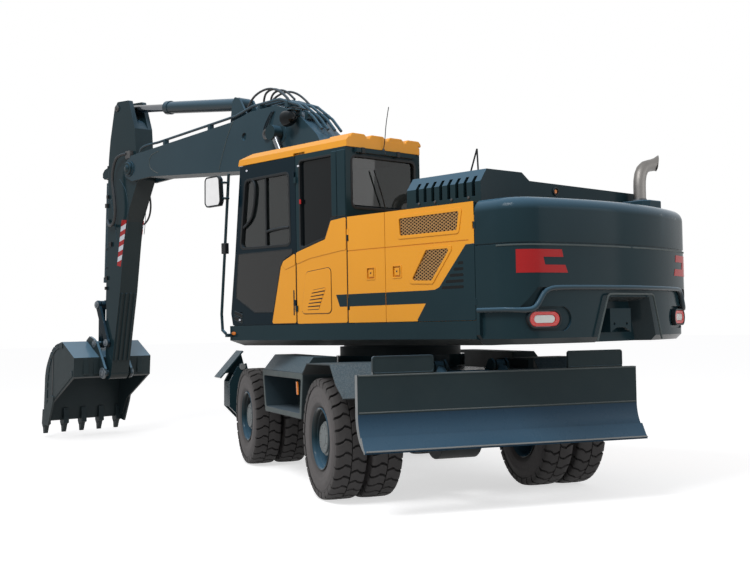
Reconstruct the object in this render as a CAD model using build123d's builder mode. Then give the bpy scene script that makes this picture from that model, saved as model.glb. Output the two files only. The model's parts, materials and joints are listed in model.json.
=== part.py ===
from build123d import *
import math
import os

# Wheeled excavator, millimetres, +Z up, wheels on z = 0.
# The upper machine looks along +Y with the boom at its middle. The chassis stands turned
# clockwise under it, as parked, so chassis pieces are modelled straight and turned at the end.

# Where the swing axis stands from the part's origin, and how far the upper is swung
swing_x = -117.0
swing_y = -1960.0
swing_turn = 24.0

# Clearances
running_gap = 0.3
door_gap = 6.0
side_gap = 6.0
seat_gap = 0.3

# Tyres and rims, twins on both axles, drawn with flat sides round the tread
wheel_sides = 22
tyre_radius = 525.0
tyre_width = 278.0
tyre_carcass_radius = 500.0
tyre_shoulder_radius = 470.0
tyre_wall_radius = 345.0
tyre_bead_half = 111.0
tyre_bead_radius = 285.0
lug_root_radius = 465.0
lug_length = 84.0
lug_width = 150.0
rim_radius = 254.0
rim_wall = 16.0
rim_flange = 14.0
rim_dish = 30.0
twin_inner_x = 806.0
twin_outer_x = 1126.0
hub_radius = 150.0
hub_cap_radius = 128.0
hub_face_x = 1222.0
hub_cap_depth = 18.0
spindle_radius = 90.0
spindle_end_x = 985.0
disc_thick = 24.0

# Axles
wheelbase = 2851.0
rear_axle_y = -1327.0
front_axle_y = rear_axle_y + wheelbase
axle_z = tyre_radius
axle_tube_radius = 95.0
diff_radius = 235.0
kingpin_x = 780.0
kingpin_radius = 30.0
yoke_height = 175.0
yoke_half = 52.0
knuckle_half = 124.0
knuckle_radius = 90.0
hub_start_x = kingpin_x + knuckle_radius + 8.0
axle_pad_gap = 0.3

# Chassis frame and slew ring
frame_half = 370.0
frame_bottom = 640.0
frame_top = 1090.0
frame_rear = -1980.0
frame_step_y = -1450.0
frame_rear_half = 200.0
frame_front = front_axle_y + 956.0
ring_seat_radius = 650.0
ring_seat_top = 1200.0
ring_radius = 610.0
ring_top = 1288.0

# Stabilisers at the chassis front
stab_y = front_axle_y + 1176.0
stab_half = 190.0
stab_pad_half = 180.0
stab_hinge_x = 1010.0
stab_hinge_z = 470.0
stab_pin_x = 1069.0
stab_pin_z = 1034.0
stab_box_half = 900.0
stab_arm_wall = 40.0
stab_pin_radius = 30.0
stab_cyl_foot = (470.0, 760.0)
stab_cyl_eye = (1085.0, 800.0)
stab_cyl_radius = 44.0
stab_rod_radius = 24.0
stab_cyl_length = 480.0
stab_rod_root = 90.0
stab_cyl_pin = 18.0

# Blade at the chassis rear
blade_half = 1250.0
blade_top_y = -2377.0
blade_top_z = 1109.0
blade_foot_y = -2542.0
blade_foot_z = 519.0
blade_plate = 24.0
blade_arm_x = 430.0
blade_hinge_y = -1550.0
blade_hinge_z = 660.0
blade_cyl_x = 290.0
blade_cyl_foot = (-1700.0, 1130.0)
blade_cyl_eye = (-2250.0, 760.0)
blade_cyl_length = 520.0
blade_rod_root = 110.0
blade_cyl_pin = 22.0
blade_rod_radius = 30.0
blade_rib_xs = (-1100.0, -760.0, 760.0, 1100.0)

# Counterweight: how far its tail reaches, the curve of its back and its own length
tail_reach = 2790.0
tail_curve = 3450.0
weight_length = 650.0
weight_corner = 300.0
weight_crown = 105.0
weight_bottom = 1323.0
weight_top = 2492.0
weight_chamfer = 80.0
recess_depth = 35.0
ridge_z = 2115.0
ledge_high = 1770.0
ledge_low = 1580.0
lamp_turn = 16.0
lamp_at = (964.0, -2590.0, 1520.0)
lamp_size = (322.0, 150.0)
lamp_thick = 36.0
lamp_pocket = (450.0, 196.0)
lamp_pocket_shift = 46.0
hitch_plate = 25.0
hitch_bore = 13.0
hitch_bore_x = 90.0
hitch_bore_z = 1470.0

# Deck of the upper machine
deck_half = 1240.0
deck_bottom = 1315.0
deck_top = 1517.0
deck_front = 1200.0
deck_join_y = weight_length - tail_reach
deck_bay_half = 420.0
deck_bay_front = 460.0
skirt_chamfer = 55.0
skirt_inset = 180.0



# Cab
cab_left = -deck_half
cab_right = -284.0
cab_rear = -603.0
cab_front = 1200.0
cab_roof_front = 1009.0
cab_waist_front = 1118.0
cab_waist_z = 2223.0
cab_floor_top = 1560.0
cab_eave = 3125.0
cab_wall = 60.0
cab_side_wall = 90.0
window_corner = 50.0
cab_roof_top = 3236.0
glass_thick = 6.0
door_rear = 140.0
door_panel = 50.0
door_axis_out = 15.0
hinge_radius = door_gap - 0.5
hinge_length = 55.0

# Machinery housings beside and behind the cab
house_top = 2480.0
house_wall = 45.0
seam_front = cab_rear - side_gap
seam_middle = -1098.0
right_inner = 490.0
right_seam = -1090.0
hood_front = -1270.0
hood_rear = deck_join_y + 20.0
hood_left = 110.0 - deck_half
hood_right = deck_half - 10.0
hood_wall = 30.0
hood_axis_out = 14.0
hood_hinge_xs = (-700.0, 700.0)
louvre_count = 8
louvre_pitch = 92.0
louvre_width = 34.0
grille_pitch = 88.0
grille_bar = 13.0
grille_thick = 12.0

# Boom, all at the boom's plane
boom_x = 100.0
boom_half = 190.0
boom_foot = (150.0, 1930.0)
boom_tip = (5020.0, 3656.0)
boom_foot_half = 270.0
boom_foot_pin = 55.0
tip_pin_radius = 50.0
boom_corner = 45.0
fork_depth = 440.0
boom_cyl_foot = (640.0, 1600.0)
boom_cyl_eye = (1787.0, 3684.0)
boom_cyl_radius = 68.0
boom_cyl_length = 1600.0
boom_rod_root = 900.0
cyl_pin_radius = 40.0
boom_rod_radius = 43.0
boom_cyl_x = 277.0

# Arm
arm_half = 136.0
arm_cyl_foot = (2716.0, 4184.0)
arm_cyl_eye = (5398.0, 4533.0)
arm_cyl_radius = 78.0
arm_cyl_length = 1660.0
arm_rod_root = 900.0
arm_rod_radius = 50.0
bucket_pin = (5735.0, 912.0)
rocker_pin = (5700.0, 1326.0)
rocker_joint = (5930.0, 1855.0)
bucket_link_pin = (5950.0, 1314.0)
bucket_cyl_foot = (5800.0, 3660.0)
bucket_cyl_radius = 68.0
bucket_cyl_length = 1500.0
bucket_rod_root = 300.0
link_pin_radius = 36.0
link_inner = 70.0
link_thick = 60.0
rocker_thick = 36.0
nose_radius = 88.0
bucket_rod_radius = 40.0

# Bucket
bucket_half = 600.0
bucket_plate = 25.0
tooth_count = 5
tooth_width = 80.0

os.makedirs("parts", exist_ok=True)
upper_place = Location((swing_x, swing_y, 0))
chassis_place = Location((swing_x, swing_y, 0), (0, 0, -swing_turn))


def keep(piece, label, place):
    """Stand a finished piece at its place and write it."""
    placed = piece.part.moved(place)
    placed.label = label
    export_step(placed, f"parts/{label}.step")


def block(x0, x1, y0, y1, z0, z1, mode=Mode.ADD):
    """A box between two corners."""
    with Locations(((x0 + x1) / 2, (y0 + y1) / 2, (z0 + z1) / 2)):
        Box(abs(x1 - x0), abs(y1 - y0), abs(z1 - z0), mode=mode)


def side_form(points, x0, x1, mode=Mode.ADD, corner=0):
    """A side outline of (y, z) points, pulled across from x0 to x1, its corners rounded if asked."""
    with BuildSketch(Plane.YZ.offset(min(x0, x1))) as outline:
        with BuildLine():
            Polyline(*points, close=True)
        make_face()
        if corner:
            fillet(outline.vertices(), corner)
    extrude(outline.sketch, amount=abs(x1 - x0), mode=mode)

def rear_form(points, y0, y1, mode=Mode.ADD):
    """An end outline of (x, z) points, pulled along from y0 to y1."""
    end_plane = Plane(origin=(0, max(y0, y1), 0), x_dir=(1, 0, 0), z_dir=(0, -1, 0))
    with BuildSketch(end_plane) as outline:
        with BuildLine():
            Polyline(*points, close=True)
        make_face()
    extrude(outline.sketch, amount=abs(y1 - y0), mode=mode)


def plan_form(points, z0, z1, mode=Mode.ADD):
    """A plan outline of (x, y) points, pulled up from z0 to z1."""
    with BuildSketch(Plane.XY.offset(z0)) as outline:
        with BuildLine():
            Polyline(*points, close=True)
        make_face()
    extrude(outline.sketch, amount=z1 - z0, mode=mode)


def cross_pin(x0, x1, at, radius, mode=Mode.ADD):
    """A round pin or hole along X through the (y, z) point."""
    with BuildSketch(Plane.YZ.offset(min(x0, x1))) as outline:
        with Locations(at):
            Circle(radius)
    extrude(outline.sketch, amount=abs(x1 - x0), mode=mode)


def length_pin(x, z, y0, y1, radius, mode=Mode.ADD):
    """A round pin or hole along Y through the (x, z) point."""
    with BuildSketch(Plane(origin=(x, max(y0, y1), z), x_dir=(1, 0, 0), z_dir=(0, -1, 0))) as outline:
        Circle(radius)
    extrude(outline.sketch, amount=abs(y1 - y0), mode=mode)


def post(x, y, z0, z1, radius, mode=Mode.ADD):
    """A round upright."""
    with BuildSketch(Plane.XY.offset(z0)) as outline:
        with Locations((x, y)):
            Circle(radius)
    extrude(outline.sketch, amount=z1 - z0, mode=mode)


def round_bar(start, end, radius, mode=Mode.ADD):
    """A round bar between two points."""
    run = Vector(end) - Vector(start)
    with BuildSketch(Plane(origin=start, z_dir=run)) as outline:
        Circle(radius)
    extrude(outline.sketch, amount=run.length, mode=mode)


def bent_bar(points, radius):
    """An eight-sided bar along a line, mitred at its corners."""
    with BuildLine() as path:
        Polyline(*points)
    with BuildSketch(Plane(origin=path.line @ 0, z_dir=path.line % 0)) as outline:
        RegularPolygon(radius, 8)
    sweep(outline.sketch, path=path.line, transition=Transition.RIGHT)


def drum(x0, radius0, x1, radius1, at, mode=Mode.ADD):
    """A flat-sided drum or hole along X about the (y, z) point, with a radius at each end."""
    with BuildSketch(Plane.YZ.offset(x0)) as near_end:
        with Locations(at):
            RegularPolygon(radius0, wheel_sides)
    with BuildSketch(Plane.YZ.offset(x1)) as far_end:
        with Locations(at):
            RegularPolygon(radius1, wheel_sides)
    loft([near_end.sketch, far_end.sketch], ruled=True, mode=mode)


def grille(points, x0, x1):
    """A diamond grille of crossing bars, trimmed to a (y, z) outline."""
    middle_y = sum(y for y, z in points) / len(points)
    middle_z = sum(z for y, z in points) / len(points)
    reach = 2 * max(math.hypot(y - middle_y, z - middle_z) for y, z in points)
    bars_each_way = int(reach / grille_pitch) + 1
    with BuildSketch(Plane.YZ.offset(min(x0, x1))) as mesh:
        for lean in (-58, 58):
            with Locations(Location((middle_y, middle_z, 0), (0, 0, lean))):
                with GridLocations(grille_pitch, grille_pitch, 1, bars_each_way):
                    Rectangle(reach, grille_bar)
        with BuildLine():
            Polyline(*points, close=True)
        make_face(mode=Mode.INTERSECT)
    extrude(mesh.sketch, amount=abs(x1 - x0))


def hinge_knuckles(x, y, heights, leaf_end):
    """Round knuckles on an upright hinge line, each with a flat leaf to its own panel's edge."""
    for z in heights:
        post(x, y, z, z + hinge_length, hinge_radius)
        block(x - 3, x + 4, y, leaf_end, z, z + hinge_length)

def toward(start, end, distance):
    """The (y, z) point at a distance from start toward end."""
    span = math.hypot(end[0] - start[0], end[1] - start[1])
    share = distance / span
    return (start[0] + (end[0] - start[0]) * share, start[1] + (end[1] - start[1]) * share)


def line_height(points, y):
    """The greatest z of a line of (y, z) points at a y."""
    heights = [0]
    for (y0, z0), (y1, z1) in zip(points, points[1:]):
        if min(y0, y1) <= y <= max(y0, y1) and y0 != y1:
            heights.append(z0 + (z1 - z0) * (y - y0) / (y1 - y0))
    return max(heights)


def cylinder_barrel(x, foot, eye, length, radius, eye_half, rod_radius, pin_radius):
    """A hydraulic cylinder's barrel: foot eye, tube, end gland, open bore for its rod."""
    mouth = toward(foot, eye, length)
    start = toward(foot, eye, radius * 1.6)
    gland = toward(foot, eye, length - radius * 1.1)
    cross_pin(x - eye_half, x + eye_half, foot, radius * 0.95)
    round_bar((x, *toward(foot, eye, radius * 0.5)), (x, *toward(foot, eye, radius * 1.8)), eye_half * 0.8)
    round_bar((x, *start), (x, *mouth), radius)
    round_bar((x, *gland), (x, *mouth), radius * 1.14)
    bore_start = toward(foot, eye, radius * 1.9)
    round_bar((x, *bore_start), (x, *mouth), rod_radius + running_gap, mode=Mode.SUBTRACT)
    cross_pin(x - eye_half, x + eye_half, foot, pin_radius + running_gap, mode=Mode.SUBTRACT)


def cylinder_rod(x, foot, eye, inside, radius, eye_half, eye_radius):
    """A hydraulic cylinder's rod with its eye, reaching back inside the barrel."""
    span = math.hypot(eye[0] - foot[0], eye[1] - foot[1])
    root = toward(foot, eye, inside)
    round_bar((x, *root), (x, *toward(foot, eye, span - eye_radius * 0.5)), radius)
    cross_pin(x - eye_half, x + eye_half, eye, eye_radius)


# Tyres: two on each side of each axle
wheel_places = [
    # name, side, axle place along Y
    ("front_left", -1, front_axle_y),
    ("front_right", 1, front_axle_y),
    ("rear_left", -1, rear_axle_y),
    ("rear_right", 1, rear_axle_y),
]

lug_step = 360 / wheel_sides
half = tyre_width / 2
bore = rim_radius + running_gap
with BuildPart() as one_tyre:
    drum(-tyre_bead_half, tyre_carcass_radius, tyre_bead_half, tyre_carcass_radius, (0, 0))
    for end, first in ((-1, 0.5), (1, 1.5)):
        bead_x, wall_x = end * tyre_bead_half, end * half
        drum(bead_x, tyre_carcass_radius, wall_x, tyre_shoulder_radius, (0, 0))
        drum(bead_x, tyre_bead_radius, wall_x, tyre_wall_radius, (0, 0), mode=Mode.SUBTRACT)
    drum(-half - 1, bore, half + 1, bore, (0, 0), mode=Mode.SUBTRACT)
    # lugs, set to the left and right of the tread by turns
    for end, first in ((-1, 0.5), (1, 1.5)):
        with Locations(Plane.YZ.offset(end * (half * 0.95 - lug_width / 2))):
            with PolarLocations(
                (lug_root_radius + tyre_radius) / 2, wheel_sides // 2, start_angle=first * lug_step
            ):
                Box(tyre_radius - lug_root_radius, lug_length, lug_width)

# Both rims, their discs bolted together, and the hub that stands out through them
with BuildPart() as rim_pair:
    disc_x = (twin_inner_x + twin_outer_x) / 2
    band_start = twin_inner_x - tyre_bead_half - 1 - rim_flange
    band_end = twin_outer_x + tyre_bead_half + 1 + rim_flange
    inside = rim_radius - rim_wall
    lip = rim_radius + rim_flange
    drum(band_start, rim_radius, band_end, rim_radius, (0, 0))
    for flange_x in (band_start, band_end - rim_flange):
        drum(flange_x, lip, flange_x + rim_flange, lip, (0, 0))
    drum(band_start - 1, inside, disc_x - disc_thick, inside - rim_dish, (0, 0), mode=Mode.SUBTRACT)
    drum(band_end + 1, inside, disc_x + disc_thick, inside - rim_dish, (0, 0), mode=Mode.SUBTRACT)
    cross_pin(disc_x, hub_face_x - hub_cap_depth, (0, 0), hub_radius)
    cross_pin(disc_x, hub_face_x, (0, 0), hub_cap_radius)
    cross_pin(hub_start_x, disc_x, (0, 0), spindle_radius + 40)
    cross_pin(
        hub_start_x - 1, spindle_end_x + 12, (0, 0), spindle_radius + running_gap, mode=Mode.SUBTRACT,
    )

# The same pieces at the four wheel places, turned round on the left
for wheel_name, side, axle_y in wheel_places:
    turned = 90 - 90 * side
    with BuildPart() as tyres:
        for tyre_x in (twin_inner_x, twin_outer_x):
            with Locations(Location((side * tyre_x, axle_y, axle_z), (0, 0, turned))):
                add(one_tyre.part)
    keep(tyres, f"tyres_{wheel_name}", chassis_place)

    with BuildPart() as rims:
        with Locations(Location((0, axle_y, axle_z), (0, 0, turned))):
            add(rim_pair.part)
    keep(rims, f"rims_{wheel_name}", chassis_place)

# Steering knuckles: an upright round body on its kingpin, with the spindle standing out of it
for knuckle_name, side in (("left", -1), ("right", 1)):
    with BuildPart() as knuckle:
        kingpin_at = (side * kingpin_x, front_axle_y)
        cross_pin(side * kingpin_x, side * spindle_end_x, (front_axle_y, axle_z), spindle_radius)
        post(*kingpin_at, axle_z - knuckle_half, axle_z + knuckle_half, knuckle_radius)
        post(*kingpin_at, axle_z - yoke_height, axle_z + yoke_height, kingpin_radius)
    keep(knuckle, f"knuckle_{knuckle_name}", chassis_place)

# Front axle: tube, differential and the round-ended yokes that hold the knuckles
yoke_inner = knuckle_half + running_gap * 4
yoke_web = kingpin_x - knuckle_radius - 14
with BuildPart() as front_axle:
    cross_pin(-(kingpin_x - 150), kingpin_x - 150, (front_axle_y, axle_z), axle_tube_radius)
    cross_pin(-190, 190, (front_axle_y, axle_z), diff_radius - 25)
    for side in (-1, 1):
        block(
            side * 215, side * 330, front_axle_y - 90, front_axle_y + 90, axle_z,
            frame_bottom - axle_pad_gap,
        )
        block(
            side * (yoke_web - 66), side * yoke_web, front_axle_y - 75, front_axle_y + 75,
            axle_z - yoke_height, axle_z + yoke_height,
        )
        for lift in (-1, 1):
            plate_low, plate_high = sorted((axle_z + lift * yoke_inner, axle_z + lift * yoke_height))
            block(
                side * (yoke_web - 66), side * kingpin_x, front_axle_y - yoke_half,
                front_axle_y + yoke_half, plate_low, plate_high,
            )
            post(side * kingpin_x, front_axle_y, plate_low, plate_high, yoke_half)
        post(
            side * kingpin_x, front_axle_y, axle_z - yoke_height - 5, axle_z + yoke_height + 5,
            kingpin_radius + running_gap, mode=Mode.SUBTRACT,
        )
keep(front_axle, "front_axle", chassis_place)

# Rear axle: tube, differential and drive housing
with BuildPart() as rear_axle:
    cross_pin(-spindle_end_x, spindle_end_x, (rear_axle_y, axle_z), spindle_radius)
    cross_pin(-190, 190, (rear_axle_y, axle_z), diff_radius)
    for side in (-1, 1):
        block(
            side * 215, side * 340, rear_axle_y - 120, rear_axle_y + 120, axle_z - 60,
            frame_bottom - axle_pad_gap,
        )
keep(rear_axle, "rear_axle", chassis_place)

# Chassis frame: box beam, slew ring seat and the stabilisers' cross box
with BuildPart() as chassis_frame:
    side_form(
        [
            (frame_step_y, frame_bottom), (frame_front, frame_bottom), (frame_front, frame_top - 130),
            (1700, frame_top - 40), (900, frame_top), (frame_step_y, frame_top),
        ],
        -frame_half, frame_half,
    )
    side_form(
        [
            (frame_rear, frame_bottom), (frame_step_y, frame_bottom), (frame_step_y, frame_top),
            (frame_rear + 300, frame_top), (frame_rear, frame_top - 230),
        ],
        -frame_rear_half, frame_rear_half,
    )
    block(-frame_half, frame_half, frame_step_y - 190, frame_step_y, frame_top - 30, frame_top)
    post(0, 0, frame_top, ring_seat_top, ring_seat_radius)
    block(-stab_box_half, stab_box_half, stab_y - stab_half, stab_y + stab_half, 560, 940)
    block(-frame_half, frame_half, frame_front, stab_y, frame_bottom, 940)
    for axle_y, case_radius in ((front_axle_y, diff_radius - 25), (rear_axle_y, diff_radius)):
        cross_pin(-205, 205, (axle_y, axle_z), case_radius + 20, mode=Mode.SUBTRACT)
    for side in (-1, 1):
        block(side * 740, side * stab_box_half, stab_y - stab_half, stab_y + stab_half, 380, 560)
        block(
            side * (stab_cyl_foot[0] - 90), side * (stab_box_half + 5), stab_y - 60, stab_y + 60, 370, 900,
            mode=Mode.SUBTRACT,
        )
        length_pin(side * stab_cyl_foot[0], stab_cyl_foot[1], stab_y - 62, stab_y + 62, stab_cyl_pin)
        for end in (-1, 1):
            near_y = stab_y + end * 95
            block(
                side * (stab_box_half - 10), side * (stab_hinge_x + 50), near_y, near_y + end * 30,
                stab_hinge_z - 60, stab_hinge_z + 60,
            )
            length_pin(
                side * stab_hinge_x, stab_hinge_z, near_y, stab_y + end * (stab_half - 18),
                stab_pin_radius,
            )
        cross_pin(side * 180, side * 490, (blade_hinge_y, blade_hinge_z), 25 - running_gap)
        side_form(
            [
                (frame_step_y, frame_bottom), (frame_step_y, 780), (blade_hinge_y, 740),
                (blade_hinge_y - 70, blade_hinge_z), (blade_hinge_y, blade_hinge_z - 60),
            ],
            side * (frame_half - 30), side * frame_half,
        )
        for lug_offset in (-74, 54):
            side_form(
                [
                    (-1640, frame_top), (-1640, frame_top - 30), (-1560, frame_top - 30), (-1560, frame_top),
                    (-1640, 1180), (-1700, 1190), (-1755, 1150), (-1755, 1100), (-1700, 1075),
                ],
                side * (blade_cyl_x + lug_offset), side * (blade_cyl_x + lug_offset + 20),
            )
        cross_pin(side * (blade_cyl_x - 74), side * (blade_cyl_x + 74), blade_cyl_foot, blade_cyl_pin)
keep(chassis_frame, "chassis_frame", chassis_place)

with BuildPart() as slew_ring:
    post(0, 0, ring_seat_top, ring_top, ring_radius)
    post(0, 0, ring_seat_top, ring_top, ring_radius - 110, mode=Mode.SUBTRACT)
keep(slew_ring, "slew_ring", chassis_place)

# Side steps: open boxes between the wheels with a sloping tread plate above
step_x_out = 1250.0
step_x_in = 900.0
step_wall = 14.0
with BuildPart() as side_steps:
    for side in (-1, 1):
        outline = [(760, 1064), (658, 636), (-728, 648), (-806, 1075)]
        side_form(outline, side * step_x_in, side * step_x_out)
        opening = [(690, 1004), (612, 690), (-668, 700), (-735, 1012)]
        side_form(opening, side * (step_x_in + step_wall), side * (step_x_out + 5), mode=Mode.SUBTRACT)
        block(side * frame_half, side * step_x_in, -420, 420, 820, 960)
        rear_form(
            [
                (side * step_x_in, 1064), (side * step_x_out, 1064), (side * 1130, 1215),
                (side * step_x_in, 1215),
            ],
            -740, 700,
        )
keep(side_steps, "side_steps", chassis_place)

# Rear mudguards over the rear twins
guard_x_in = 640.0
guard_x_out = 1262.0
with BuildPart() as rear_mudguards:
    for side in (-1, 1):
        side_form(
            [
                (-818, 1058), (-977, 1158), (-1682, 1166), (-1833, 1010), (-2040, 900),
                (-2044, 909), (-1836, 1019), (-1685, 1176), (-975, 1168), (-813, 1066),
            ],
            side * guard_x_in, side * guard_x_out,
        )
        block(side * frame_half, side * guard_x_in, -1640, -1000, 1060, 1090)
        block(side * (guard_x_in - 30), side * (guard_x_in + 20), -1640, -1000, 1060, 1166)
keep(rear_mudguards, "rear_mudguards", chassis_place)

# Blade: rolled mouldboard with its cutting edge, guard plates, ribs and arms
blade_back = blade_top_y + 60
roll_top_z = 800.0
with BuildPart() as dozer_blade:
    with BuildSketch(Plane.YZ.offset(-blade_half)) as mouldboard:
        with BuildLine():
            Line((blade_top_y, blade_top_z), (blade_top_y, roll_top_z))
            ThreePointArc((blade_top_y, roll_top_z), (blade_top_y - 36, 655), (blade_foot_y, blade_foot_z))
            Line((blade_foot_y, blade_foot_z), (blade_foot_y + 40, blade_foot_z))
            ThreePointArc((blade_foot_y + 40, blade_foot_z), (blade_back - 34, 660), (blade_back, roll_top_z))
            Polyline((blade_back, roll_top_z), (blade_back, blade_top_z), (blade_top_y, blade_top_z))
        make_face()
    extrude(mouldboard.sketch, amount=2 * blade_half)
    # bolted cutting edge along the foot
    side_form(
        [
            (blade_foot_y + 10, blade_foot_z - 12), (blade_foot_y + 34, blade_foot_z - 12),
            (blade_foot_y + 112, 620), (blade_foot_y + 88, 632),
        ],
        -blade_half, blade_half,
    )
    for rib_x in blade_rib_xs:
        side_form(
            [
                (blade_back - 10, 1060), (blade_back + 70, 900), (blade_back + 70, 700),
                (blade_back - 40, 560), (blade_back - 60, 640),
            ],
            rib_x - 10, rib_x + 10,
        )
    for side in (-1, 1):
        guard = [
            (side * 605, blade_top_z - 4), (side * 605, 1233), (side * 625, 1253), (side * 1100, 1253),
            (side * 1120, 1233), (side * 1120, blade_top_z - 4),
        ]
        rear_form(guard, blade_top_y + 5, blade_top_y + 30)
        side_form(
            [
                (blade_top_y + 40, 640), (blade_top_y + 40, 960), (-2200, 850),
                (blade_hinge_y - 40, blade_hinge_z + 75), (blade_hinge_y + 40, blade_hinge_z + 60),
                (blade_hinge_y + 65, blade_hinge_z), (blade_hinge_y + 40, blade_hinge_z - 55),
                (blade_hinge_y - 40, blade_hinge_z - 60),
            ],
            side * (blade_arm_x - 45), side * (blade_arm_x + 45),
        )
        cross_pin(
            side * (blade_arm_x - 46), side * (blade_arm_x + 46), (blade_hinge_y, blade_hinge_z), 25,
            mode=Mode.SUBTRACT,
        )
        for lug_offset in (-68, 48):
            side_form(
                [
                    (blade_top_y + 50, 640), (blade_top_y + 50, 880), (-2240, 820), (-2190, 770),
                    (-2200, 720), (-2250, 700),
                ],
                side * (blade_cyl_x + lug_offset), side * (blade_cyl_x + lug_offset + 20),
            )
keep(dozer_blade, "dozer_blade", chassis_place)

# Blade lift cylinders
with BuildPart() as blade_barrels:
    for side in (-1, 1):
        cylinder_barrel(
            side * blade_cyl_x, blade_cyl_foot, blade_cyl_eye, blade_cyl_length, 50, 40,
            blade_rod_radius, blade_cyl_pin,
        )
keep(blade_barrels, "blade_barrels", chassis_place)

with BuildPart() as blade_rods:
    for side in (-1, 1):
        cylinder_rod(
            side * blade_cyl_x, blade_cyl_foot, blade_cyl_eye, blade_rod_root, blade_rod_radius, 35, 48,
        )
keep(blade_rods, "blade_rods", chassis_place)

# Stabilisers: arm and pad on each side
for stab_name, side in (("left", -1), ("right", 1)):
    with BuildPart() as stabiliser:
        for y0 in (stab_y - stab_half + 20, stab_y + stab_half - 20 - stab_arm_wall):
            rear_form(
                [
                    (side * (stab_hinge_x - 60), stab_hinge_z - 60), (side * (stab_hinge_x + 70), 400),
                    (side * 1230, 560), (side * 1225, 860), (side * (stab_pin_x + 60), stab_pin_z),
                    (side * (stab_pin_x - 50), stab_pin_z + 40), (side * (stab_hinge_x - 80), 700),
                ],
                y0, y0 + stab_arm_wall,
            )
        rear_form(
            [(side * 1200, 560), (side * 1230, 560), (side * 1225, 860), (side * 1195, 860)],
            stab_y - stab_half + 20, stab_y + stab_half - 20,
        )
        rear_form(
            [
                (side * 1067, 1224), (side * 1343, 912), (side * 1331, 901), (side * 1055, 1213),
            ],
            stab_y - stab_pad_half, stab_y + stab_pad_half,
        )
        for y0 in (stab_y - 100, stab_y + 70):
            rear_form(
                [
                    (side * 1075, 1210), (side * 1300, 950), (side * (stab_pin_x + 80), stab_pin_z - 60),
                    (side * (stab_pin_x - 40), stab_pin_z),
                ],
                y0, y0 + 30,
            )
        length_pin(side * stab_pin_x, stab_pin_z, stab_y - stab_half + 20, stab_y + stab_half - 20, 40)
        for end in (-1, 1):
            rear_form(
                [
                    (side * 1200, 720), (side * 1200, 860), (side * stab_cyl_eye[0], stab_cyl_eye[1] + 40),
                    (side * (stab_cyl_eye[0] - 35), stab_cyl_eye[1]), (side * stab_cyl_eye[0], 760),
                ],
                stab_y + end * 46, stab_y + end * 66,
            )
            length_pin(
                side * stab_hinge_x, stab_hinge_z, stab_y + end * (stab_half - 70),
                stab_y + end * (stab_half + 5), stab_pin_radius + running_gap, mode=Mode.SUBTRACT,
            )
    keep(stabiliser, f"stabiliser_{stab_name}", chassis_place)

# Stabiliser cylinders inside the cross box
for stab_name, side in (("left", -1), ("right", 1)):
    foot_x, foot_z = side * stab_cyl_foot[0], stab_cyl_foot[1]
    eye_x, eye_z = side * stab_cyl_eye[0], stab_cyl_eye[1]
    foot = (foot_x, foot_z)
    eye = (eye_x, eye_z)
    eye_half = 42
    with BuildPart() as stab_barrel:
        mouth_x, mouth_z = toward(foot, eye, stab_cyl_length)
        gland_x, gland_z = toward(foot, eye, stab_cyl_length - 40)
        start_x, start_z = toward(foot, eye, 30)
        length_pin(foot_x, foot_z, stab_y - eye_half, stab_y + eye_half, 38)
        round_bar((start_x, stab_y, start_z), (mouth_x, stab_y, mouth_z), stab_cyl_radius)
        round_bar((gland_x, stab_y, gland_z), (mouth_x, stab_y, mouth_z), stab_cyl_radius + 5)
        bore_x, bore_z = toward(foot, eye, 60)
        round_bar(
            (bore_x, stab_y, bore_z), (mouth_x, stab_y, mouth_z), stab_rod_radius + running_gap,
            mode=Mode.SUBTRACT,
        )
        length_pin(
            foot_x, foot_z, stab_y - eye_half - 1, stab_y + eye_half + 1, stab_cyl_pin + running_gap,
            mode=Mode.SUBTRACT,
        )
    keep(stab_barrel, f"stab_barrel_{stab_name}", chassis_place)

    with BuildPart() as stab_rod:
        root_x, root_z = toward(foot, eye, stab_rod_root)
        round_bar((root_x, stab_y, root_z), (eye_x, stab_y, eye_z), stab_rod_radius)
        length_pin(eye_x, eye_z, stab_y - 40, stab_y + 40, 36)
    keep(stab_rod, f"stab_rod_{stab_name}", chassis_place)

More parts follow.
